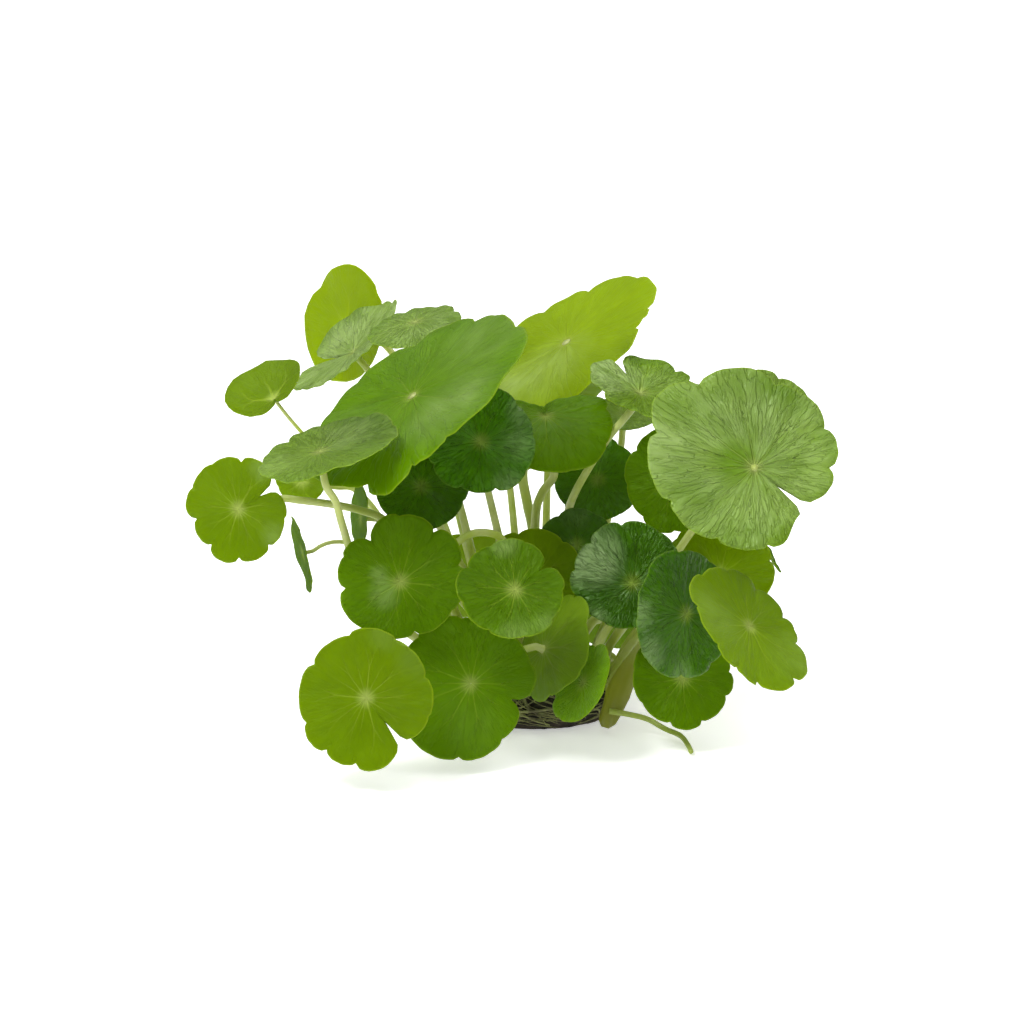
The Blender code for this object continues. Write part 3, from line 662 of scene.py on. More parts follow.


# The painted_sheen patches of each leaf lay a grey-green painted sheen on its blade.
CLUMPS: dict[str, tuple[Leaf, ...]] = {
    "front_left": (
        Leaf("edge_on_left", (-51, -24, 42), 17, (-76, -11), (-18, -5), arrive=(1, 0.3, 0.8), reach=0.25,
             stalk=0.45, look=Look.TURNED),
        Leaf("mid_left", (-46, -46, 70), 30, (-58, 72), (-17, -9), nicks=(27, 185, 285), centre=(35, 0.15),
             swell=((172, 28, -0.08),),
             via=((-44.5, -47.5, 63), (-42.5, -46, 59), (-41.4, -42, 53), (-39, -35, 43), (-32, -26, 28)),
             look=Look.SHEEN,
             painted_sheen=((0, 0, 1.6, 0.2), (90, 0.5, 0.5, 0.35), (250, 0.7, 0.5, 0.25)), pleat=0.010, tone=0.88),
        Leaf("front_low_left", (-36, -60, 20), 29.3, (-10, 15), (-15, -12), nicks=(150, 22, 205, 235, 264),
             sinus=(312, 0.6, 5), centre=(270, 0.03), swell=((185, 40, -0.05),), look=Look.YOUNG,
             painted_sheen=((40, 0.9, 0.35, 0.15), (75, 0.95, 0.3, 0.2)), tone=0.9),
        Leaf("front_left", (-29, -48, 42), 27, (5, 15), (-13, -15), nicks=(55, 15, 285, 185),
             sinus=(124, 1.0, 8), centre=(90, 0.1), notch=0.1,
             via=((-20, -42.5, 47), (-13, -35, 49.5), (-7, -28, 45), (-12.3, -20.3, 30)),
             painted_sheen=((215, 0.3, 0.3, 0.8), (160, 0.35, 0.2, 0.6))),
    ),
    "front": (
        Leaf("front_centre", (-4.5, -54, 42), 22.5, (5, 38), (-10, -12.5), nicks=(152, 236),
             sinus=(38, 0.84, 7), centre=(180, 0.08), rise=0.5, reach=0.3,
             painted_sheen=((100, 0.95, 0.35, 0.9), (270, 0.95, 0.45, 0.5), (310, 0.95, 0.4, 0.4)), tone=0.9),
        Leaf("front_low", (-14, -46, 19), 31, (8, 14), (-9, -16), nicks=(258,), sinus=(336, 0.88, 10),
             centre=(215, 0.12), swell=((295, 45, -0.08),), painted_sheen=((270, 0.6, 0.5, 0.15),), tone=1.12),
        Leaf("underside", (1.9, -33, 22.7), 28, (115, -25), (-6.5, -18.5), nicks=(100,), centre=(200, 0.2),
             swell=((268, 50, -0.3), (215, 45, -0.22), (110, 40, 0.1)),
             arrive=(-0.9, 0.3, -0.3), reach=0.5, tone=1.15),
    ),
    "left": (
        Leaf("inner_left", (-39, -8, 46), 16, (-75, 4), (-14, -1), look=Look.TURNED),
        Leaf("small_left", (-52.1, -8, 54.5), 10.8, (0, 34), (-16, 2), stalk=0.5,
             via=((-50, -5, 51.5), (-45, 0.5, 51), (-37, 3.5, 46)), look=Look.YOUNG),
        Leaf("upper_left", (-59.2, 12, 68.9), 21.7, (-60, 54), (-17, 6), sinus=(340, 0.3, 50),
             centre=(182, 0.62), cup=0.06, swell=((262, 60, -0.3), (228, 40, -0.2)), span=90, stalk=0.42,
             look=Look.YOUNG, tone=0.8),
        Leaf("low_back_left", (-33, 24, 22), 21, (-115, 25), (-15, 10), nicks=(60,)),
    ),
    "back_left": (
        Leaf("top_left", (-41.9, 27, 76.6), 30.9, (-80, 50), (-12, 6), nicks=(122, 20), sinus=(213, 0.3, 9),
             centre=(185, 0.42), cup=0.07, look=Look.SHEEN,
             painted_sheen=((0, 0, 1.8, 1.4),), pleat=0.012),
        Leaf("top_back_left", (-44.6, 55, 77.0), 28.3, (-48, 12), (-10, 12), nicks=(145, 45),
             centre=(120, 0.08), span=110, look=Look.BACKLIT),
    ),
    "middle_left": (
        Leaf("dark_left", (-25, -28, 58), 20, (0, 29), (-8, -8), look=Look.DEEP),
        Leaf("big_left", (-27, -26, 78), 56.5, (-66, 55), (-9, -4), nicks=(350, 332, 309),
             centre=(345, 0.17), cup=0.05, swell=((140, 25, -0.05),), droop=(320, 0.5, 25),
             tone=1.22,
             painted_sheen=((80, 0.8, 0.6, 0.45), (250, 0.7, 0.5, 0.4), (140, 0.8, 0.5, 0.1), (5, 0.7, 0.5, 0.75))),
        Leaf("far_left", (-64, -36, 55), 23, (-20, 8), (-9, 0), nicks=(88, 234, 197, 275, 316),
             sinus=(33, 0.68, 7), notch=0.1,
             via=((-55.3, -33.5, 56.6), (-50.8, -33.5, 56.3), (-44, -33, 55.3), (-38.1, -31, 53.5),
                  (-33, -28, 50.6), (-26, -20, 42), (-17, -9, 28)), look=Look.YOUNG,
             painted_sheen=((60, 0.9, 0.3, 0.5), (330, 0.9, 0.35, 0.4))),
        Leaf("small_top", (-27, 10, 87), 22.5, (-50, 73), (-9, 4), nicks=(75,),
             swell=((75, 30, -0.12), (48, 25, -0.1)), cup=-0.1, look=Look.SHEEN,
             painted_sheen=((0, 0, 1.6, 0.6), (0, 0.9, 0.4, 0.4)), pleat=0.014, tone=1.08),
    ),
    "middle": (
        # glossy_middle: tone 1.5 brightens the whole blade as painted light, and its painted sheen patches
        # lie along its rims.
        Leaf("glossy_middle", (-12, -28, 68), 23.5, (5, 25), (-3.5, -2), nicks=(285, 245, 205),
             look=Look.DEEP, painted_sheen=((35, 0.95, 0.35, 0.7), (300, 0.95, 0.35, 0.7), (0, 0.75, 0.5, 0.4)),
             pleat=0.010, tone=1.5),
        Leaf("middle", (2, -10, 70), 28.5, (15, 62), (0, 2), centre=(280, 0.17), swell=((90, 85, -0.75),),
             droop=(270, 0.3, 60),
             via=((2.5, -5, 64), (3.6, -2, 57.6), (4.1, 1, 53.3), (1.3, 1.5, 49), (0, 2, 42)), stalk=0.9,
             tone=1.12),
        Leaf("top_right", (7, 28, 79), 47, (-65, 55), (1, 7), nicks=(129, 43, 22, 350), centre=(345, 0.15),
             swell=((3, 30, 0.07),), droop=(300, 0.3, 35),
             via=((5, 25, 70), (-0.5, 17, 59), (-2.8, 12, 52), (-1.8, 8, 45.5), (-0.3, 6, 38)), stalk=1.15,
             look=Look.BACKLIT, painted_sheen=((300, 0.4, 0.6, 0.6), (260, 0.8, 0.4, 0.7))),
    ),
    "middle_front": (
        Leaf("behind_front", (-0.5, -17, 34.5), 22, (0, 20), (2, -7), nicks=(109, 51), look=Look.YOUNG),
        Leaf("dark_middle", (9, -11, 40.5), 17, (0, 34), (6, -6), look=Look.DEEP,
             painted_sheen=((90, 0.8, 0.5, 0.4),)),
    ),
    "middle_right": (
        Leaf("funnel", (23, -10, 75), 25, (30, 68), (5, 1), nicks=(9, 27, 163), sinus=(84, 0.65, 7),
             centre=(45, 0.34),
             swell=((164, 25, -0.14), (255, 20, 0.14), (112, 15, 0.06)), cup=0.01,
             via=((19.6, -10, 69.2), (16.2, -10, 65), (12.5, -9.5, 59), (9.2, -8, 52.7), (7.4, -4.9, 47),
                  (6.4, -3.4, 40)), look=Look.SHEEN,
             painted_sheen=((120, 0.9, 0.9, 1.4), (20, 0.6, 0.7, 0.35)), pleat=0.012, tone=1.15),
        Leaf("inner_right", (14, 4, 52), 20, (0, 34), (9, 3), look=Look.DEEP, tone=1.15,
             painted_sheen=((110, 0.6, 0.5, 0.25),)),
        Leaf("pale_back", (20, 14, 65), 17, (0, 74), (9, 8), look=Look.SHEEN, painted_sheen=((0, 0, 1.6, 0.9),)),
    ),
    "front_right": (
        Leaf("small_front", (10, -42, 18), 18.6, (-62, 30), (8, -16), nicks=(100,),
             swell=((110, 40, -0.1),), tone=1.9,
             painted_sheen=((0, 0, 1.5, 0.25), (80, 0.9, 0.4, 0.3))),
        Leaf("sheen_right", (21, -32, 37.3), 24, (-10, 30), (12, -11), nicks=(105, 139, 200),
             centre=(125, 0.2), look=Look.DEEP, painted_sheen=((150, 0.95, 0.7, 1.6), (230, 0.95, 0.3, 0.6)),
             pleat=0.014, tone=0.75),
    ),
    "right": (
        Leaf("low_right", (32, -32, 16), 22, (8, 25), (17, -12), nicks=(250, 290, 335, 5), tone=1.05),
        Leaf("dark_right", (32, -46, 34.4), 27.4, (38, 12), (18, -8), nicks=(252,), centre=(175, 0.08),
             swell=((275, 40, -0.04),),
             via=((33, -37, 30), (27, -22, 28)), look=Look.DEEP,
             painted_sheen=((170, 0.95, 0.35, 0.7), (210, 0.95, 0.35, 0.7), (250, 0.9, 0.3, 0.4))),
        Leaf("front_right", (44.9, -55, 34.4), 31.3, (57, 42), (19, -5),
             nicks=(146, 183, 205, 228, 275, 324, 353, 33), centre=(200, 0.14), notch=0.09,
             swell=((218, 14, -0.06),), via=((46, -49, 25), (46, -33, 23), (39, -19, 20)), look=Look.YOUNG,
             tone=1.0, painted_sheen=((150, 0.7, 0.6, 0.35), (300, 0.8, 0.6, 0.3))),
        Leaf("under_right", (41, -12, 34), 25, (0, 40), (19, -2), nicks=(16,), centre=(90, 0.1),
             look=Look.YOUNG, tone=1.12),
        Leaf("big_right", (46.7, -38, 64.6), 41, (8, 33), (16, 0),
             nicks=(28, 72, 118, 158, 200, 238, 273, 358), sinus=(316, 0.48, 6), centre=(140, 0.18), cup=0.03,
             swell=((138, 26, 0.11), (64, 24, -0.05), (100, 25, -0.03), (180, 25, -0.04), (272, 25, 0.04),
                    (300, 16, -0.1), (345, 20, 0.04)),
             via=((37, -27, 52), (30, -21, 40), (22, -12, 26)),
             look=Look.SHEEN,
             painted_sheen=((0, 0, 1.8, 0.62), (165, 0.22, 0.3, -0.7), (290, 0.95, 0.35, -0.5),
                  (165, 1.0, 0.5, 0.5), (250, 0.7, 0.4, -0.1), (70, 1.0, 0.3, -0.3)), pleat=0.010, tone=1.18),
        Leaf("behind_right", (31.5, -12, 56), 24, (-15, 13), (13, -2), nicks=(150,)),
    ),
    "back_right": (
        Leaf("edge_on_right", (53.3, 6, 34), 10, (90, 31), (19, 3), look=Look.TURNED),
        Leaf("back_right", (50.5, -22.5, 71.3), 25, (25, 38), (16.7, 8.8), nicks=(60, 95),
             via=((48, -16.5, 66), (43, -7, 54), (35, 2, 38)), look=Look.SHEEN,
             painted_sheen=((0, 0, 1.5, 0.5),), pleat=0.012),
        Leaf("far_back_right", (46, 22, 27), 24, (110, 30), (10, 14), nicks=(60,)),
    ),
    "back": (
        Leaf("low_back_right", (18, 28, 14.8), 24, (160, 20), (6, 18), nicks=(10,)),
        Leaf("upper_back", (4, 42, 66), 25, (175, 50), (2, 15), nicks=(60,), look=Look.SHEEN,
             painted_sheen=((90, 0.5, 0.8, 0.4),), pleat=0.012),
        Leaf("back", (-7.5, 42, 52), 24, (-170, 30), (-3, 14), nicks=(40,)),
        Leaf("low_back", (-16, 40, 20), 25, (-165, 20), (-8, 17), nicks=(80,), look=Look.YOUNG),
    ),
}

RUNNER_ROUTE: tuple[Point, ...] = (
    (16.3, -22.2, 5.4), (20.5, -22.2, 4.7), (24.8, -22, 3.5), (28.6, -24, 1.9), (31.9, -26.5, 1.1),
    (33.3, -32.3, 0.8), (33.8, -37.5, 0.8),
)
CROWN_ROUTE: tuple[Point, ...] = (
    (15.5, -20.4, 1.0), (15.9, -20, 2.3), (16.6, -19.2, 4.6), (18.3, -17.4, 8.3), (20.6, -16.6, 12.5),
    (22.6, -16.8, 16.5), (24, -17.5, 20),
)
CROWN_RADII: tuple[float, ...] = (0.8, 1.8, 2.2, 2.6, 2.2, 1.5, 0.9)


def in_scene(name: str, data: bpy.types.ID) -> bpy.types.Object:
    """Puts a mesh, a light or a camera into the scene.

    Args:
        name: The object's name.
        data: What it is made of.

    Returns:
        The object.
    """
    made = bpy.data.objects.new(name, data)
    bpy.context.scene.collection.objects.link(made)
    return made


def meshed(name: str, points: Sequence[Point], faces: Sequence[tuple[int, ...]]) -> bpy.types.Object:
    """Makes a smooth mesh object.

    Args:
        name: Its name.
        points: Its points in metres.
        faces: Its faces, as the numbers of their points.

    Returns:
        The object, in the scene.
    """
    mesh = bpy.data.meshes.new(name)
    mesh.from_pydata(points, [], faces)
    mesh.shade_smooth()
    return in_scene(name, mesh)


def unit(vector: Vector) -> Vector:
    """A vector of length 1 the same way."""
    return vector.normalized()


def facing(azimuth: float, elevation: float) -> Vector:
    """The unit vector that looks to an azimuth and an elevation, both in degrees."""
    a, e = math.radians(azimuth), math.radians(elevation)
    return Vector((math.sin(a) * math.cos(e), -math.cos(a) * math.cos(e), math.sin(e)))


def blade_axes(leaf: Leaf) -> tuple[Vector, Vector, Vector]:
    """Works out a blade's own directions.

    Args:
        leaf: The leaf.

    Returns:
        Its right, up and outward directions.
    """
    out = facing(*leaf.faces)
    right = unit(Vector((0, 0, 1)).cross(out))
    return right, out.cross(right), out


@dataclass
class Sheet:
    """The points and faces of a closed mesh, with a map for its veins."""

    points: Grid
    faces: list[tuple[int, ...]]
    corners: list[tuple[float, float]]
    skins: list[int]
    tone: float
    radius: float
    painted_sheen: Grid
    ways: Grid

    def to_object(self, name: str, materials: Sequence[bpy.types.Material]) -> bpy.types.Object:
        """Makes the mesh object.

        Args:
            name: The object's name.
            materials: Its materials, in the order that skins counts.

        Returns:
            The object, linked to the scene.
        """
        made = meshed(name, (self.points * MM).tolist(), self.faces)
        mesh = made.data
        layer = mesh.uv_layers.new(name="lobes")
        layer.data.foreach_set("uv", np.array(self.corners, dtype=np.float32).ravel())
        even = np.ones(len(self.points))
        # painted_sheen holds how strong the painted sheen is at each point.
        for label, values in (("tone", even * self.tone), ("radius", even * self.radius), ("painted_sheen", self.painted_sheen)):
            layer = mesh.attributes.new(label, "FLOAT", "POINT")
            layer.data.foreach_set("value", values.astype(np.float32))
        layer = mesh.attributes.new("way", "FLOAT_VECTOR", "POINT")
        layer.data.foreach_set("vector", self.ways.astype(np.float32).ravel())
        for material in materials:
            mesh.materials.append(material)
        mesh.polygons.foreach_set("material_index", self.skins)
        return made


@dataclass
class Blade:
    """One leaf blade: a thin closed sheet with lobes, pleats, a dimple at the hub and a rounded rim.

    Each ripple is its height, the power that it grows with towards the rim, how many waves it has
    round the blade, and how much the leaf's width turns it. rim_curl is how far the rim bends down
    from curl_start outwards. Heights and radii here are shares of the blade's radius.
    """

    leaf: Leaf
    small_lobe_step: float = 60.0
    small_width: float = 18.0
    slight_nick_depth: float = 0.018
    lobe_swing: float = 0.035
    thickness: float = 0.42
    rim_thickness: float = 0.2
    rings: int = 22
    ring_spacing: float = 1.12
    columns_per_lobe: int = 12
    ripples: tuple[tuple[float, float, int, float], ...] = (
        (0.02, 2.5, 4, 0.0), (0.012, 2, 3, 1.3), (0.010, 3, 7, 2.6), (0.006, 3, 13, 3.9)
    )
    rim_curl: float = 0.016
    curl_start: float = 0.8
    dimple: float = 0.02
    dimple_radius: float = 0.07
    nicks: Grid = field(init=False)
    depths: Grid = field(init=False)

    def __post_init__(self) -> None:
        """Works out all the nicks, with each wide stretch between the given ones filled evenly."""
        leaf = self.leaf
        step = self.small_lobe_step if leaf.width < self.small_width else leaf.span
        given = sorted(list(leaf.nicks) + list(leaf.sinus[:1])) or [leaf.width * 7 % 360]
        nicks: list[float] = []
        depths: list[float] = []
        for start, end in zip(given, given[1:] + [given[0] + 360]):
            lobes = max(1, round((end - start) / step))
            nicks += [start + (end - start) * k / lobes for k in range(lobes)]
            depths += [leaf.notch] + [self.slight_nick_depth] * (lobes - 1)
        self.nicks = np.array(nicks)
        self.depths = np.array(depths)

    def lobe_reach(self, lobe: Grid) -> Grid:
        """How far each lobe reaches, as a share of the blade's radius."""
        return 1 + self.lobe_swing * np.sin(1.7 * self.leaf.width + 2.4 * (lobe % len(self.nicks)))

    def rim(self, turns: Grid) -> tuple[Grid, Grid]:
        """The rim all round.

        Args:
            turns: Where round the blade, counted in lobes.

        Returns:
            Direction in radians and reach as a share of the radius, for each.
        """
        leaf = self.leaf
        lobe = np.floor(turns).astype(int)
        part = turns - lobe
        ends_at = np.append(self.nicks, self.nicks[0] + 360)
        count = len(self.nicks)
        theta = ends_at[lobe % count] * (1 - part) + ends_at[lobe % count + 1] * part
        own = self.lobe_reach(lobe)
        beside = self.lobe_reach(np.where(part < 0.5, lobe - 1, lobe + 1))
        depth = self.depths[np.where(part < 0.5, lobe, lobe + 1) % count]
        ends = np.minimum(own, beside) - depth
        reach = ends + (own - ends) * np.sin(np.pi * part) ** 0.42
        reach += 0.008 * np.abs(np.sin(3 * np.pi * part + lobe)) * np.sin(np.pi * part)
        toward, amount = leaf.centre
        turn = np.radians(theta - toward)
        reach *= amount * np.cos(turn) + np.sqrt(1 - (amount * np.sin(turn)) ** 2)
        for toward, spread, further in leaf.swell:
            away = np.abs((theta - toward + 180) % 360 - 180)
            reach *= 1 + further * np.maximum(0, 1 - (away / spread) ** 2) ** 2
        if leaf.sinus:
            apex, tip, half_opening = leaf.sinus
            away = np.abs((theta - apex + 180) % 360 - 180)
            reach *= tip + (1 - tip) * np.minimum(1, away / half_opening) ** 0.4
            reach *= 1 - 0.2 * np.maximum(0, 1 - away / 45) ** 2
        return np.radians(theta), reach

    def surface(self, share: Grid, turns: Grid) -> Grid:
        """Points of the upper face.

        Args:
            share: How far out each point is, from 0 at the hub to 1 at the rim.
            turns: Where round the blade each is, counted in lobes.

        Returns:
            The points in millimetres, in the object's frame.
        """
        leaf = self.leaf
        theta, reach = self.rim(turns)
        r = share * reach
        x, y = r * np.cos(theta), r * np.sin(theta)
        h = leaf.cup * r ** 2
        for height, power, waves, turn in self.ripples:
            h += height * r ** power * np.cos(waves * theta + turn * leaf.width)
        part = turns - np.floor(turns)
        h -= leaf.pleat * share ** 1.5 * np.cos(4 * np.pi * part)
        curl = np.maximum(0, (share - self.curl_start) / (1 - self.curl_start)) ** 2
        h -= self.rim_curl * curl * (0.6 + 0.4 * np.cos(2 * np.pi * part))
        h -= self.dimple * np.exp(-((share / self.dimple_radius) ** 2))
        if leaf.droop:
            toward, start, bend = leaf.droop
            b, k = math.radians(toward), math.radians(bend)
            s = x * math.cos(b) + y * math.sin(b)
            q = y * math.cos(b) - x * math.sin(b)
            past = np.maximum(0, s - start)
            s = np.where(past > 0, start + np.sin(k * past) / k, s)
            h = h - (1 - np.cos(k * past)) / k
            x, y = s * math.cos(b) - q * math.sin(b), s * math.sin(b) + q * math.cos(b)
        right, up, out = (np.array(axis) for axis in blade_axes(leaf))
        plane = x[..., None] * right + y[..., None] * up + h[..., None] * out
        return np.array(leaf.joint) + leaf.width / 2 * plane

    def sheet(self) -> Sheet:
        """The closed sheet: upper face, rounded rim and lower face.

        Returns:
            Its points, faces, map and skins.
        """
        lobes = len(self.nicks)
        columns = lobes * self.columns_per_lobe
        turns = np.arange(columns) / self.columns_per_lobe
        shares = (np.arange(1, self.rings + 1) / self.rings) ** self.ring_spacing
        share_grid, turn_grid = np.meshgrid(shares, turns, indexing="ij")
        top = self.surface(share_grid, turn_grid)
        hub = self.surface(np.zeros(1), np.zeros(1))[0]
        inner = np.concatenate([np.broadcast_to(hub, (1, columns, 3)), top[:-1]])
        outer = np.concatenate([top[1:], 2 * top[-1:] - top[-2:-1]])
        around = np.roll(top, -1, axis=1) - np.roll(top, 1, axis=1)
        normals = np.cross(outer - inner, around)
        normals /= np.linalg.norm(normals, axis=2, keepdims=True)
        depth = self.thickness + (self.rim_thickness - self.thickness) * shares ** 3
        low = top - normals * depth[:, None, None]
        outward = top[-1] - top[-2]
        outward /= np.linalg.norm(outward, axis=1, keepdims=True)
        edge = (top[-1] + low[-1]) / 2 + outward * self.rim_thickness * 0.6
        below_hub = hub - np.array(blade_axes(self.leaf)[2]) * self.thickness
        points = np.concatenate([top.reshape(-1, 3), low.reshape(-1, 3), edge, [hub, below_hub]])
        # The painted sheen lies on the upper face only, at half strength on the edge ring.
        painted_sheen = self.painted_sheen(share_grid, turn_grid)
        painted_sheen_share = np.concatenate([painted_sheen.ravel(), np.zeros(painted_sheen.size), painted_sheen[-1] * 0.5, [0.0, 0.0]])
        theta = self.rim(turn_grid)[0]
        own = self.leaf.width + 0.1 * self.leaf.joint[0]
        ways = np.stack([np.cos(theta), np.sin(theta), share_grid], axis=-1).reshape(-1, 3)
        ways = np.concatenate([ways, ways, ways[-columns:], np.zeros((2, 3))]) + (own, -own, 0.0)
        return self.stitch(points, columns, shares, painted_sheen_share, ways)

    def painted_sheen(self, share: Grid, turns: Grid) -> Grid:
        """How strong the painted sheen is over the upper face.

        Args:
            share: How far out each point is, from 0 at the hub to 1 at the rim.
            turns: Where round the blade each is, counted in lobes.

        Returns:
            Its strength at each point, from 0 to 1.
        """
        theta, reach = self.rim(turns)
        x, y = share * reach * np.cos(theta), share * reach * np.sin(theta)
        painted_sheen_share = np.zeros_like(x)
        for toward, out, size, thick in self.leaf.painted_sheen:
            a = math.radians(toward)
            away = np.hypot(x - out * math.cos(a), y - out * math.sin(a)) / size
            painted_sheen_share += thick * np.clip(1.5 - 1.5 * away, 0, 1)
        return np.clip(painted_sheen_share, 0, 1)

    def stitch(self, points: Grid, columns: int, shares: Grid, painted_sheen_share: Grid, ways: Grid) -> Sheet:
        """Joins the points into faces and lays the map on them.

        Args:
            points: Upper rings, lower rings, the edge ring, the hub and the point below it.
            columns: How many points a ring has.
            shares: How far out each ring is.
            painted_sheen_share: How strong the painted sheen is at each point.
            ways: Direction from the hub and share of the radius at each point.

        Returns:
            The closed sheet.
        """
        size = self.rings * columns
        edge_start, hub, below_hub = 2 * size, 2 * size + columns, 2 * size + columns + 1
        per_lobe = self.columns_per_lobe
        faces: list[tuple[int, ...]] = []
        corners: list[tuple[float, float]] = []
        skins: list[int] = []

        def add(face: Sequence[tuple[int, float, float]], skin: int) -> None:
            """Adds one face.

            Args:
                face: Its corners, each a point's number, its place in lobes and its share.
                skin: Which of the skins it has.
            """
            ordered = face if skin == 0 else tuple(reversed(face))
            faces.append(tuple(corner[0] for corner in ordered))
            corners.extend((corner[1], corner[2]) for corner in ordered)
            skins.append(skin)

        for column in range(columns):
            after = (column + 1) % columns
            here, there = column / per_lobe, (column + 1) / per_lobe
            middle = (here + there) / 2
            for skin, start, tip in ((0, 0, hub), (1, size, below_hub)):
                add(((tip, middle, 0.0), (start + column, here, shares[0]),
                     (start + after, there, shares[0])), skin)
                for ring in range(self.rings - 1):
                    near, far = start + ring * columns, start + (ring + 1) * columns
                    add(((near + column, here, shares[ring]), (far + column, here, shares[ring + 1]),
                         (far + after, there, shares[ring + 1]), (near + after, there, shares[ring])), skin)
                last = start + (self.rings - 1) * columns
                add(((last + column, here, 1.0), (edge_start + column, here, 1.0),
                     (edge_start + after, there, 1.0), (last + after, there, 1.0)), skin)
        return Sheet(points, faces, corners, skins, self.leaf.tone, self.leaf.width / 2, painted_sheen_share, ways)

    def build(self, materials: Materials) -> bpy.types.Object:
        """Builds and dresses the blade in place of its node.

        Args:
            materials: Where its skins come from.

        Returns:
            The blade.
        """
        skins = [materials.blade(self.leaf.look.value), materials.blade(UNDERSIDE)]
        made = self.sheet().to_object("blade_" + self.leaf.name, skins)
        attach(made, "root")
        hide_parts("leaf_" + self.leaf.name)
        return made


# Stems


def through(points: Sequence[Vector], steps: int) -> list[Vector]:
    """Draws a smooth line through points.

    Args:
        points: What it passes through.
        steps: How many steps there are from one point to the next.

    Returns:
        The line's points.
    """
    ends = [2 * points[0] - points[1], *points, 2 * points[-1] - points[-2]]
    line = []
    for a, b, c, d in zip(ends, ends[1:], ends[2:], ends[3:]):
        for k in range(steps):
            t = k / steps
            line.append(0.5 * (2 * b + (c - a) * t + (2 * a - 5 * b + 4 * c - d) * t ** 2
                               + (3 * b - a - 3 * c + d) * t ** 3))
    return line + [points[-1]]


@dataclass
class Tube:
    """A closed tube along a line, in millimetres, round or with three soft ribs.

    starts and ends are the values that the mesh gets at its ends for its place along the tube.
    """

    line: Sequence[Vector]
    radii: Sequence[float]
    sides: int = 12
    rib: float = 0.0
    starts: float = 0.0
    ends: float = 1.0

    def mesh_data(self, first: int = 0) -> tuple[list[Point], list[tuple[int, ...]], list[float]]:
        """Works out the tube's points and faces.

        Args:
            first: The number that its first point gets.

        Returns:
            Points in metres, faces and each point's place along the tube.
        """
        count = len(self.line)
        tangents = [unit(self.line[min(k + 1, count - 1)] - self.line[max(k - 1, 0)]) for k in range(count)]
        side = unit(tangents[0].orthogonal())
        points: list[Point] = []
        along: list[float] = []
        for k, (place, tangent, radius) in enumerate(zip(self.line, tangents, self.radii)):
            side = unit(side - tangent * side.dot(tangent))
            other = tangent.cross(side)
            for j in range(self.sides):
                a = 2 * math.pi * j / self.sides
                swollen = radius * (1 + self.rib * math.cos(3 * a + 0.2 * k))
                points.append(tuple((place + swollen * (side * math.cos(a) + other * math.sin(a))) * MM))
                along.append(self.starts + (self.ends - self.starts) * k / (count - 1))
        faces: list[tuple[int, ...]] = []
        for k in range(count - 1):
            for j in range(self.sides):
                i = (j + 1) % self.sides
                low, high = first + k * self.sides, first + (k + 1) * self.sides
                faces.append((low + j, low + i, high + i, high + j))
        faces.append(tuple(first + j for j in reversed(range(self.sides))))
        faces.append(tuple(first + (count - 1) * self.sides + j for j in range(self.sides)))
        return points, faces, along

    def build(self, name: str) -> bpy.types.Object:
        """Makes the tube an object, with each point's place along it kept in the mesh.

        Args:
            name: The object's name.

        Returns:
            The tube.
        """
        points, faces, along = self.mesh_data()
        made = meshed(name, points, faces)
        made.data.attributes.new("along", "FLOAT", "POINT").data.foreach_set("value", along)
        return made


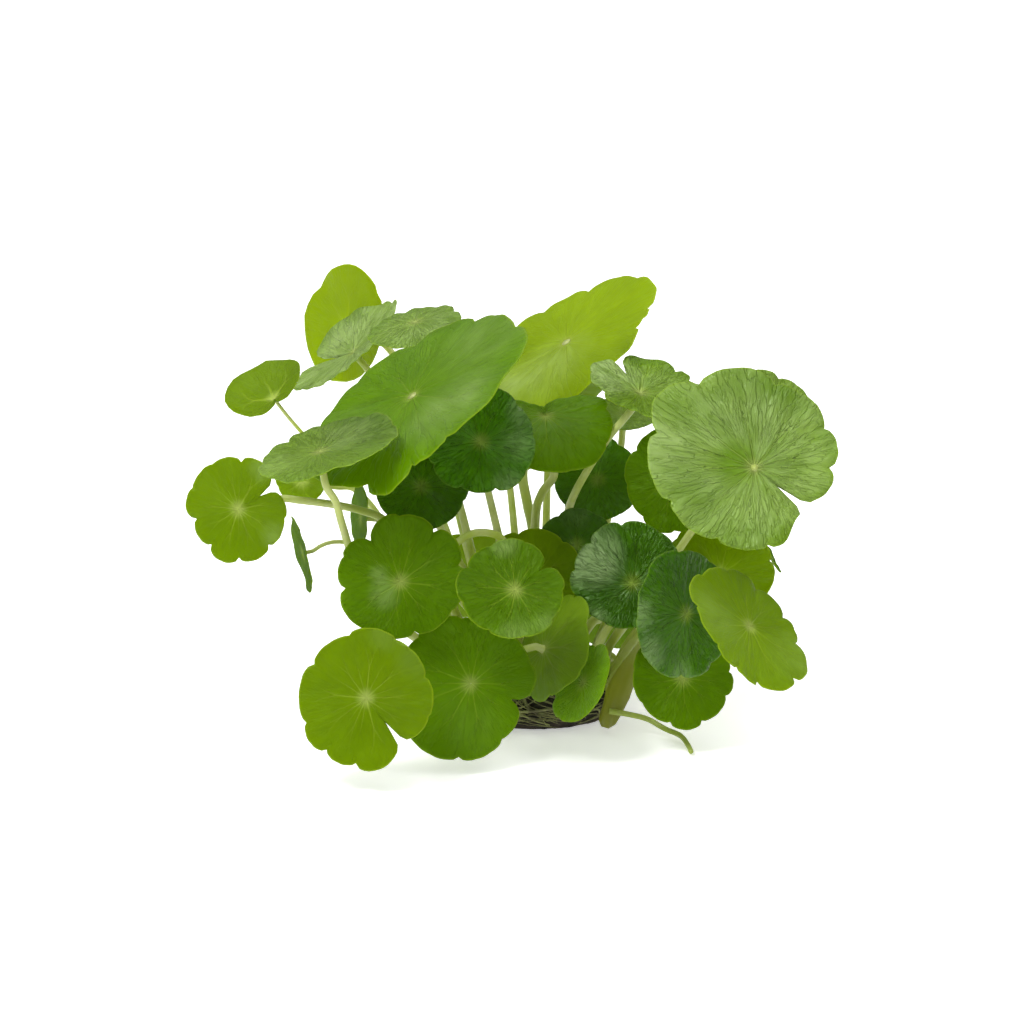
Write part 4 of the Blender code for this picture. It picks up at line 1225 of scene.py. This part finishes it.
@dataclass
class StemClump:
    """A creeping stem over the plug with the leaf stalks that grow on it.

    grafts are the depths under the upper face where each stalk flares into its blade.
    """

    name: str
    leaves: tuple[Leaf, ...]
    plug_radius: float = 20.0
    plug_height: float = 12.0
    plug_shoulder: float = 6.0
    creeping_radius: float = 1.5
    creeping_lift: float = 0.7
    foot_radius: float = 1.25
    neck: float = 2.4
    first_rise: float = 4.0
    stalk_steps: int = 22
    via_steps: int = 7
    creeping_steps: int = 6
    grafts: tuple[float, ...] = (1.2, 0.7, 0.3)
    crown_on: str = "right"
    crown_steps: int = 6
    crown_sides: int = 48
    crown_rib: float = 0.2

    def on_creeping_stem(self, foot: tuple[float, float]) -> Vector:
        """Works out where a foot lies on the middle line of the creeping stem.

        Args:
            foot: Its place across and along the plug.

        Returns:
            The place.
        """
        x, y = foot
        share = min(1, math.hypot(x, y) / self.plug_radius)
        top = self.plug_height - (self.plug_height - self.plug_shoulder) * share ** 2
        return Vector((x, y, top + self.creeping_lift + self.creeping_radius))

    def stalk_line(self, leaf: Leaf) -> list[Vector]:
        """The middle line of a leaf's stalk, from the creeping stem into the blade.

        Args:
            leaf: The leaf that it carries.

        Returns:
            The line's points.
        """
        out = blade_axes(leaf)[2]
        joint = Vector(leaf.joint)
        foot = self.on_creeping_stem(leaf.foot)
        neck = joint - out * self.neck
        span = (joint - foot).length
        level = unit(Vector((joint.x - foot.x, joint.y - foot.y, 0)))
        up = unit(Vector((0, 0, 1)) * (1 - leaf.lean) + level * leaf.lean)
        if leaf.via:
            waypoints = [Vector(point) for point in reversed(leaf.via)]
            line = through([foot, foot + up * self.first_rise, *waypoints, neck], self.via_steps)
        else:
            arrive = unit(Vector(leaf.arrive)) if leaf.arrive else -out
            handles = (foot, foot + up * leaf.rise * span, neck + arrive * leaf.reach * span, neck)
            line = []
            for k in range(self.stalk_steps + 1):
                t = k / self.stalk_steps
                weights = ((1 - t) ** 3, 3 * (1 - t) ** 2 * t, 3 * (1 - t) * t ** 2, t ** 3)
                line.append(sum((w * h for w, h in zip(weights, handles)), Vector()))
        return line + [joint - out * depth for depth in self.grafts]

    def stalk(self, leaf: Leaf) -> Tube:
        """Shapes a leaf's stalk, thicker at its foot and flared under the blade.

        Args:
            leaf: The leaf that it carries.

        Returns:
            The stalk.
        """
        line = self.stalk_line(leaf)
        last = len(line) - 1
        radii = [leaf.stalk + (self.foot_radius - leaf.stalk) * (1 - k / last) ** 3 for k in range(len(line))]
        radii[-2:] = [leaf.stalk * 1.12, leaf.stalk * 1.35]
        return Tube(line, radii)

    def creeping(self) -> Tube:
        """Shapes the creeping stem, with a slight swelling at each foot.

        Returns:
            The stem.
        """
        feet = [self.on_creeping_stem(leaf.foot) for leaf in self.leaves]
        first = feet[0] + unit(feet[0] - feet[1]) * self.creeping_radius
        last = feet[-1] + unit(feet[-1] - feet[-2]) * self.creeping_radius
        line = through([first, *feet, last], self.creeping_steps)
        radii = [self.creeping_radius * (0.9 + 0.12 * math.cos(k / 3 * math.pi)) for k in range(len(line))]
        radii[0] = radii[-1] = self.creeping_radius * 0.6
        return Tube(line, radii)

    def crown(self) -> Tube:
        """Shapes the thick growing end of the creeping stem, which rises beside the plug.

        Returns:
            The growing end.
        """
        line = through([Vector(point) for point in CROWN_ROUTE], self.crown_steps)
        places = np.arange(len(line)) / self.crown_steps
        radii = np.interp(places, np.arange(len(CROWN_RADII)), CROWN_RADII)
        return Tube(line, radii.tolist(), self.crown_sides, self.crown_rib, starts=-1.0, ends=-0.2)

    def mark_crown(self, mesh: bpy.types.Mesh) -> None:
        """Gives the growing end's points their place along it again, which the joining loses.

        Args:
            mesh: The joined clump.
        """
        crown = self.crown()
        line = np.array([tuple(point) for point in crown.line])
        points = np.empty(len(mesh.vertices) * 3)
        mesh.vertices.foreach_get("co", points)
        gaps = np.linalg.norm(points.reshape(-1, 1, 3) / MM - line, axis=2)
        nearest = gaps.argmin(axis=1)
        own = gaps.min(axis=1) < np.array(crown.radii)[nearest] * (1 + crown.rib) + 0.3
        values = np.empty(len(mesh.vertices))
        mesh.attributes["along"].data.foreach_get("value", values)
        values[own] = crown.starts + (crown.ends - crown.starts) * nearest[own] / (len(line) - 1)
        mesh.attributes["along"].data.foreach_set("value", values)

    def build(self, materials: Materials) -> bpy.types.Object:
        """Grows the stalks on the creeping stem and dresses the clump in place of its node.

        Args:
            materials: Where its skin comes from.

        Returns:
            The clump.
        """
        made = self.creeping().build("stalks_" + self.name)
        added = [self.stalk(leaf).build(leaf.name + "_stalk") for leaf in self.leaves]
        if self.name == self.crown_on:
            added.append(self.crown().build("crown"))
        for stalk in added:
            join = made.modifiers.new(stalk.name, "BOOLEAN")
            join.operation = "UNION"
            join.solver = "EXACT"
            join.use_self = True
            join.object = stalk
        depsgraph = bpy.context.evaluated_depsgraph_get()
        mesh = bpy.data.meshes.new_from_object(made.evaluated_get(depsgraph))
        made.modifiers.clear()
        made.data = mesh
        for stalk in added:
            bpy.data.objects.remove(stalk)
        if self.name == self.crown_on:
            self.mark_crown(mesh)
        mesh.materials.clear()
        mesh.materials.append(materials.stem(STALK_SKIN))
        mesh.shade_smooth()
        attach(made, "root")
        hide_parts("stems_" + self.name)
        return made


@dataclass
class Runner:
    """The runner that trails from the plug along the surface."""

    radius: float = 0.65
    steps: int = 10

    def build(self, materials: Materials) -> bpy.types.Object:
        """Builds and dresses the runner in place of its node.

        Args:
            materials: Where its skin comes from.

        Returns:
            The runner.
        """
        line = through([Vector(point) for point in RUNNER_ROUTE], self.steps)
        last = len(line) - 1
        radii = [self.radius * (1 - 0.12 * (k / last)) for k in range(len(line))]
        radii[-1] = self.radius * 0.5
        made = Tube(line, radii).build("runner_stem")
        made.data.materials.append(materials.stem(RUNNER_SKIN))
        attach(made, "root")
        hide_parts("runner")
        return made


# Root plug


@dataclass
class RootPlug:
    """The block of soil and roots, and the fine roots that mat its sides."""

    radius: float = 20.0
    height: float = 12.0
    shoulder: float = 6.0
    base_radius: float = 18.6
    top_share: float = 0.62
    bulge: float = 0.6
    columns: int = 150
    rows: int = 46
    crumb: float = 0.7
    root_count: int = 130
    thick_roots: int = 22
    root_steps: int = 12
    seed: int = 7

    def profile(self, share: float) -> tuple[float, float]:
        """The plug's outline.

        Args:
            share: 0 at the middle of the top, 1 at the edge of the base.

        Returns:
            Radius and height there.
        """
        if share < self.top_share:
            r = share / self.top_share
            return self.radius * r, self.height - (self.height - self.shoulder) * r ** 2
        down = (share - self.top_share) / (1 - self.top_share)
        bulge = math.sin(math.pi * down) * self.bulge
        return self.radius + (self.base_radius - self.radius) * down ** 2 + bulge, self.shoulder * (1 - down)

    def soil(self, materials: Materials) -> bpy.types.Object:
        """Builds the crumbly block in place of its node.

        Args:
            materials: Where its skin comes from.

        Returns:
            The block.
        """
        points: list[Point] = []
        for row in range(1, self.rows + 1):
            r, z = self.profile(row / self.rows)
            for column in range(self.columns):
                a = 2 * math.pi * column / self.columns
                place = Vector((r * math.cos(a), r * math.sin(a), z))
                rough = noise.fractal(place * 0.35, 0.8, 2.2, 5) * self.crumb
                r_here = max(0.1, r + min(0.25, rough) - 0.25)
                z_here = z + (min(0.2, rough) - 0.2 if row < self.rows else 0)
                points.append((r_here * math.cos(a) * MM, r_here * math.sin(a) * MM, max(z_here, 0) * MM))
        top, base = len(points), len(points) + 1
        points += [(0, 0, (self.height - 0.3) * MM), (0, 0, 0)]
        faces: list[tuple[int, ...]] = []
        for column in range(self.columns):
            after = (column + 1) % self.columns
            faces.append((top, column, after))
            for row in range(self.rows - 1):
                near, far = row * self.columns, (row + 1) * self.columns
                faces.append((near + column, far + column, far + after, near + after))
            last = (self.rows - 1) * self.columns
            faces.append((last + column, base, last + after))
        made = meshed("soil_block", points, faces)
        made.data.materials.append(materials.soil(SOIL))
        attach(made, "root")
        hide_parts("root_plug")
        return made

    def root_line(self, random: np.random.Generator) -> list[Vector]:
        """Lets one root wander down the plug's side.

        Args:
            random: The source of its turns.

        Returns:
            The points of its line.
        """
        a = random.uniform(0, 2 * math.pi)
        share = random.uniform(0.3, 0.66)
        end = random.uniform(0.8, 0.99)
        drift = random.uniform(-0.12, 0.12)
        stand_off = random.uniform(0.0, 0.9)
        line = []
        for k in range(self.root_steps + 1):
            r, z = self.profile(share + (end - share) * k / self.root_steps)
            lift = stand_off * math.sin(math.pi * k / self.root_steps) + 0.05
            line.append(Vector(((r + lift) * math.cos(a), (r + lift) * math.sin(a), max(z, 0.3))))
            drift += random.uniform(-0.05, 0.05)
            a += drift
        return through(line, 2)

    def roots(self, materials: Materials) -> bpy.types.Object:
        """Builds the mat of fine roots as one mesh.

        Args:
            materials: Where its skin comes from.

        Returns:
            The mat.
        """
        random = np.random.default_rng(self.seed)
        points: list[Point] = []
        faces: list[tuple[int, ...]] = []
        for number in range(self.root_count):
            line = self.root_line(random)
            thick = random.uniform(0.32, 0.5) if number < self.thick_roots else random.uniform(0.1, 0.2)
            radii = [thick * (1 - 0.6 * k / (len(line) - 1)) for k in range(len(line))]
            more, joined, _along = Tube(line, radii, sides=6).mesh_data(len(points))
            points += more
            faces += joined
        made = meshed("root_mat", points, faces)
        made.data.materials.append(materials.roots(ROOT_SKIN))
        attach(made, "root")
        return made


# Studio


@dataclass
class Studio:
    """Floor, light and camera. The camera's place is in millimetres and the rest in metres."""

    floor_size: float = 9.0
    floor_gap: float = 0.0002
    floor_colour: Colour = (0.86, 0.86, 0.86)
    low_sky: float = 0.30
    high_sky: float = 2.1
    floor_glow: float = 0.45
    key_place: Point = (-0.35, -0.45, 0.75)
    key_size: tuple[float, float] = (0.25, 0.25)
    key_radiance: float = 30.0
    aim: Point = (0, 0, 0.04)
    camera_place: Point = (-5.25, -776.2, 238.9)
    camera_tilt: float = 76.0
    lens: float = 125.0

    def floor(self) -> bpy.types.Object:
        """Lays the pale floor just under the plug.

        Returns:
            The floor.
        """
        half = self.floor_size / 2
        corners = ((-half, -half, 0), (half, -half, 0), (half, half, 0), (-half, half, 0))
        made = meshed("floor", corners, [(0, 1, 2, 3)])
        made.location.z = -self.floor_gap
        material = bpy.data.materials.new("pale floor")
        material.use_nodes = True
        shader = material.node_tree.nodes["Principled BSDF"]
        shader.inputs["Base Color"].default_value = (*self.floor_colour, 1.0)
        shader.inputs["Roughness"].default_value = 0.8
        shader.inputs["Specular IOR Level"].default_value = 0.2
        shader.inputs["Emission Color"].default_value = (1, 1, 1, 1)
        shader.inputs["Emission Strength"].default_value = self.floor_glow
        made.data.materials.append(material)
        return made

    def light(self, name: str, place: Point, size: tuple[float, float], radiance: float) -> bpy.types.Object:
        """Hangs a soft box that looks at the plant.

        Args:
            name: Its name.
            place: Where it is, in metres.
            size: Its width and height, in metres.
            radiance: How bright its face is.

        Returns:
            The light.
        """
        data = bpy.data.lights.new(name, "AREA")
        data.shape = "RECTANGLE"
        data.size, data.size_y = size
        data.energy = radiance * math.pi * size[0] * size[1]
        made = in_scene(name, data)
        made.location = place
        way = Vector(self.aim) - Vector(place)
        made.rotation_euler = way.to_track_quat("-Z", "Y").to_euler()
        return made

    def world(self) -> None:
        """Sets the even pale light all round."""
        world = bpy.data.worlds.new("soft studio")
        world.use_nodes = True
        shading = Shading(world.node_tree)
        way = shading.node("ShaderNodeTexCoord").outputs["Generated"]
        height = shading.node("ShaderNodeSeparateXYZ", {0: way}).outputs[2]
        share = shading.span(height, 0.55, 0.8)
        more = shading.maths("MULTIPLY", share, self.high_sky - self.low_sky)
        strength = shading.maths("ADD", more, self.low_sky)
        background = world.node_tree.nodes["Background"]
        background.inputs["Color"].default_value = (1, 1, 1, 1)
        shading.tree.links.new(strength, background.inputs["Strength"])
        bpy.context.scene.world = world

    def camera(self) -> bpy.types.Object:
        """Sets the camera at the photograph's angle.

        Returns:
            The camera.
        """
        data = bpy.data.cameras.new("camera")
        data.lens = self.lens
        data.sensor_width = 36.0
        data.clip_start = 0.05
        made = in_scene("camera", data)
        made.location = Vector(self.camera_place) * MM
        made.rotation_euler = (math.radians(self.camera_tilt), 0, 0)
        bpy.context.scene.camera = made
        return made

    def build(self) -> None:
        """Sets up the whole studio."""
        self.camera()
        self.floor()
        self.world()
        self.light("key soft box", self.key_place, self.key_size, self.key_radiance)
        scene = bpy.context.scene
        scene.view_settings.view_transform = "Standard"
        scene.view_settings.exposure = 0.0


def report(made: bpy.types.Object) -> None:
    """Logs one finished piece."""
    LOG.info("%s: %d faces", made.name, len(made.data.polygons))


def main() -> None:
    """Builds the plant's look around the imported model."""
    logging.basicConfig(level=logging.INFO, format="%(message)s")
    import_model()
    Studio().build()
    materials = Materials()
    plug = RootPlug()
    report(plug.soil(materials))
    report(plug.roots(materials))
    report(Runner().build(materials))
    for name, leaves in CLUMPS.items():
        report(StemClump(name, leaves).build(materials))
        for leaf in leaves:
            report(Blade(leaf).build(materials))


if __name__ == "__main__":
    main()
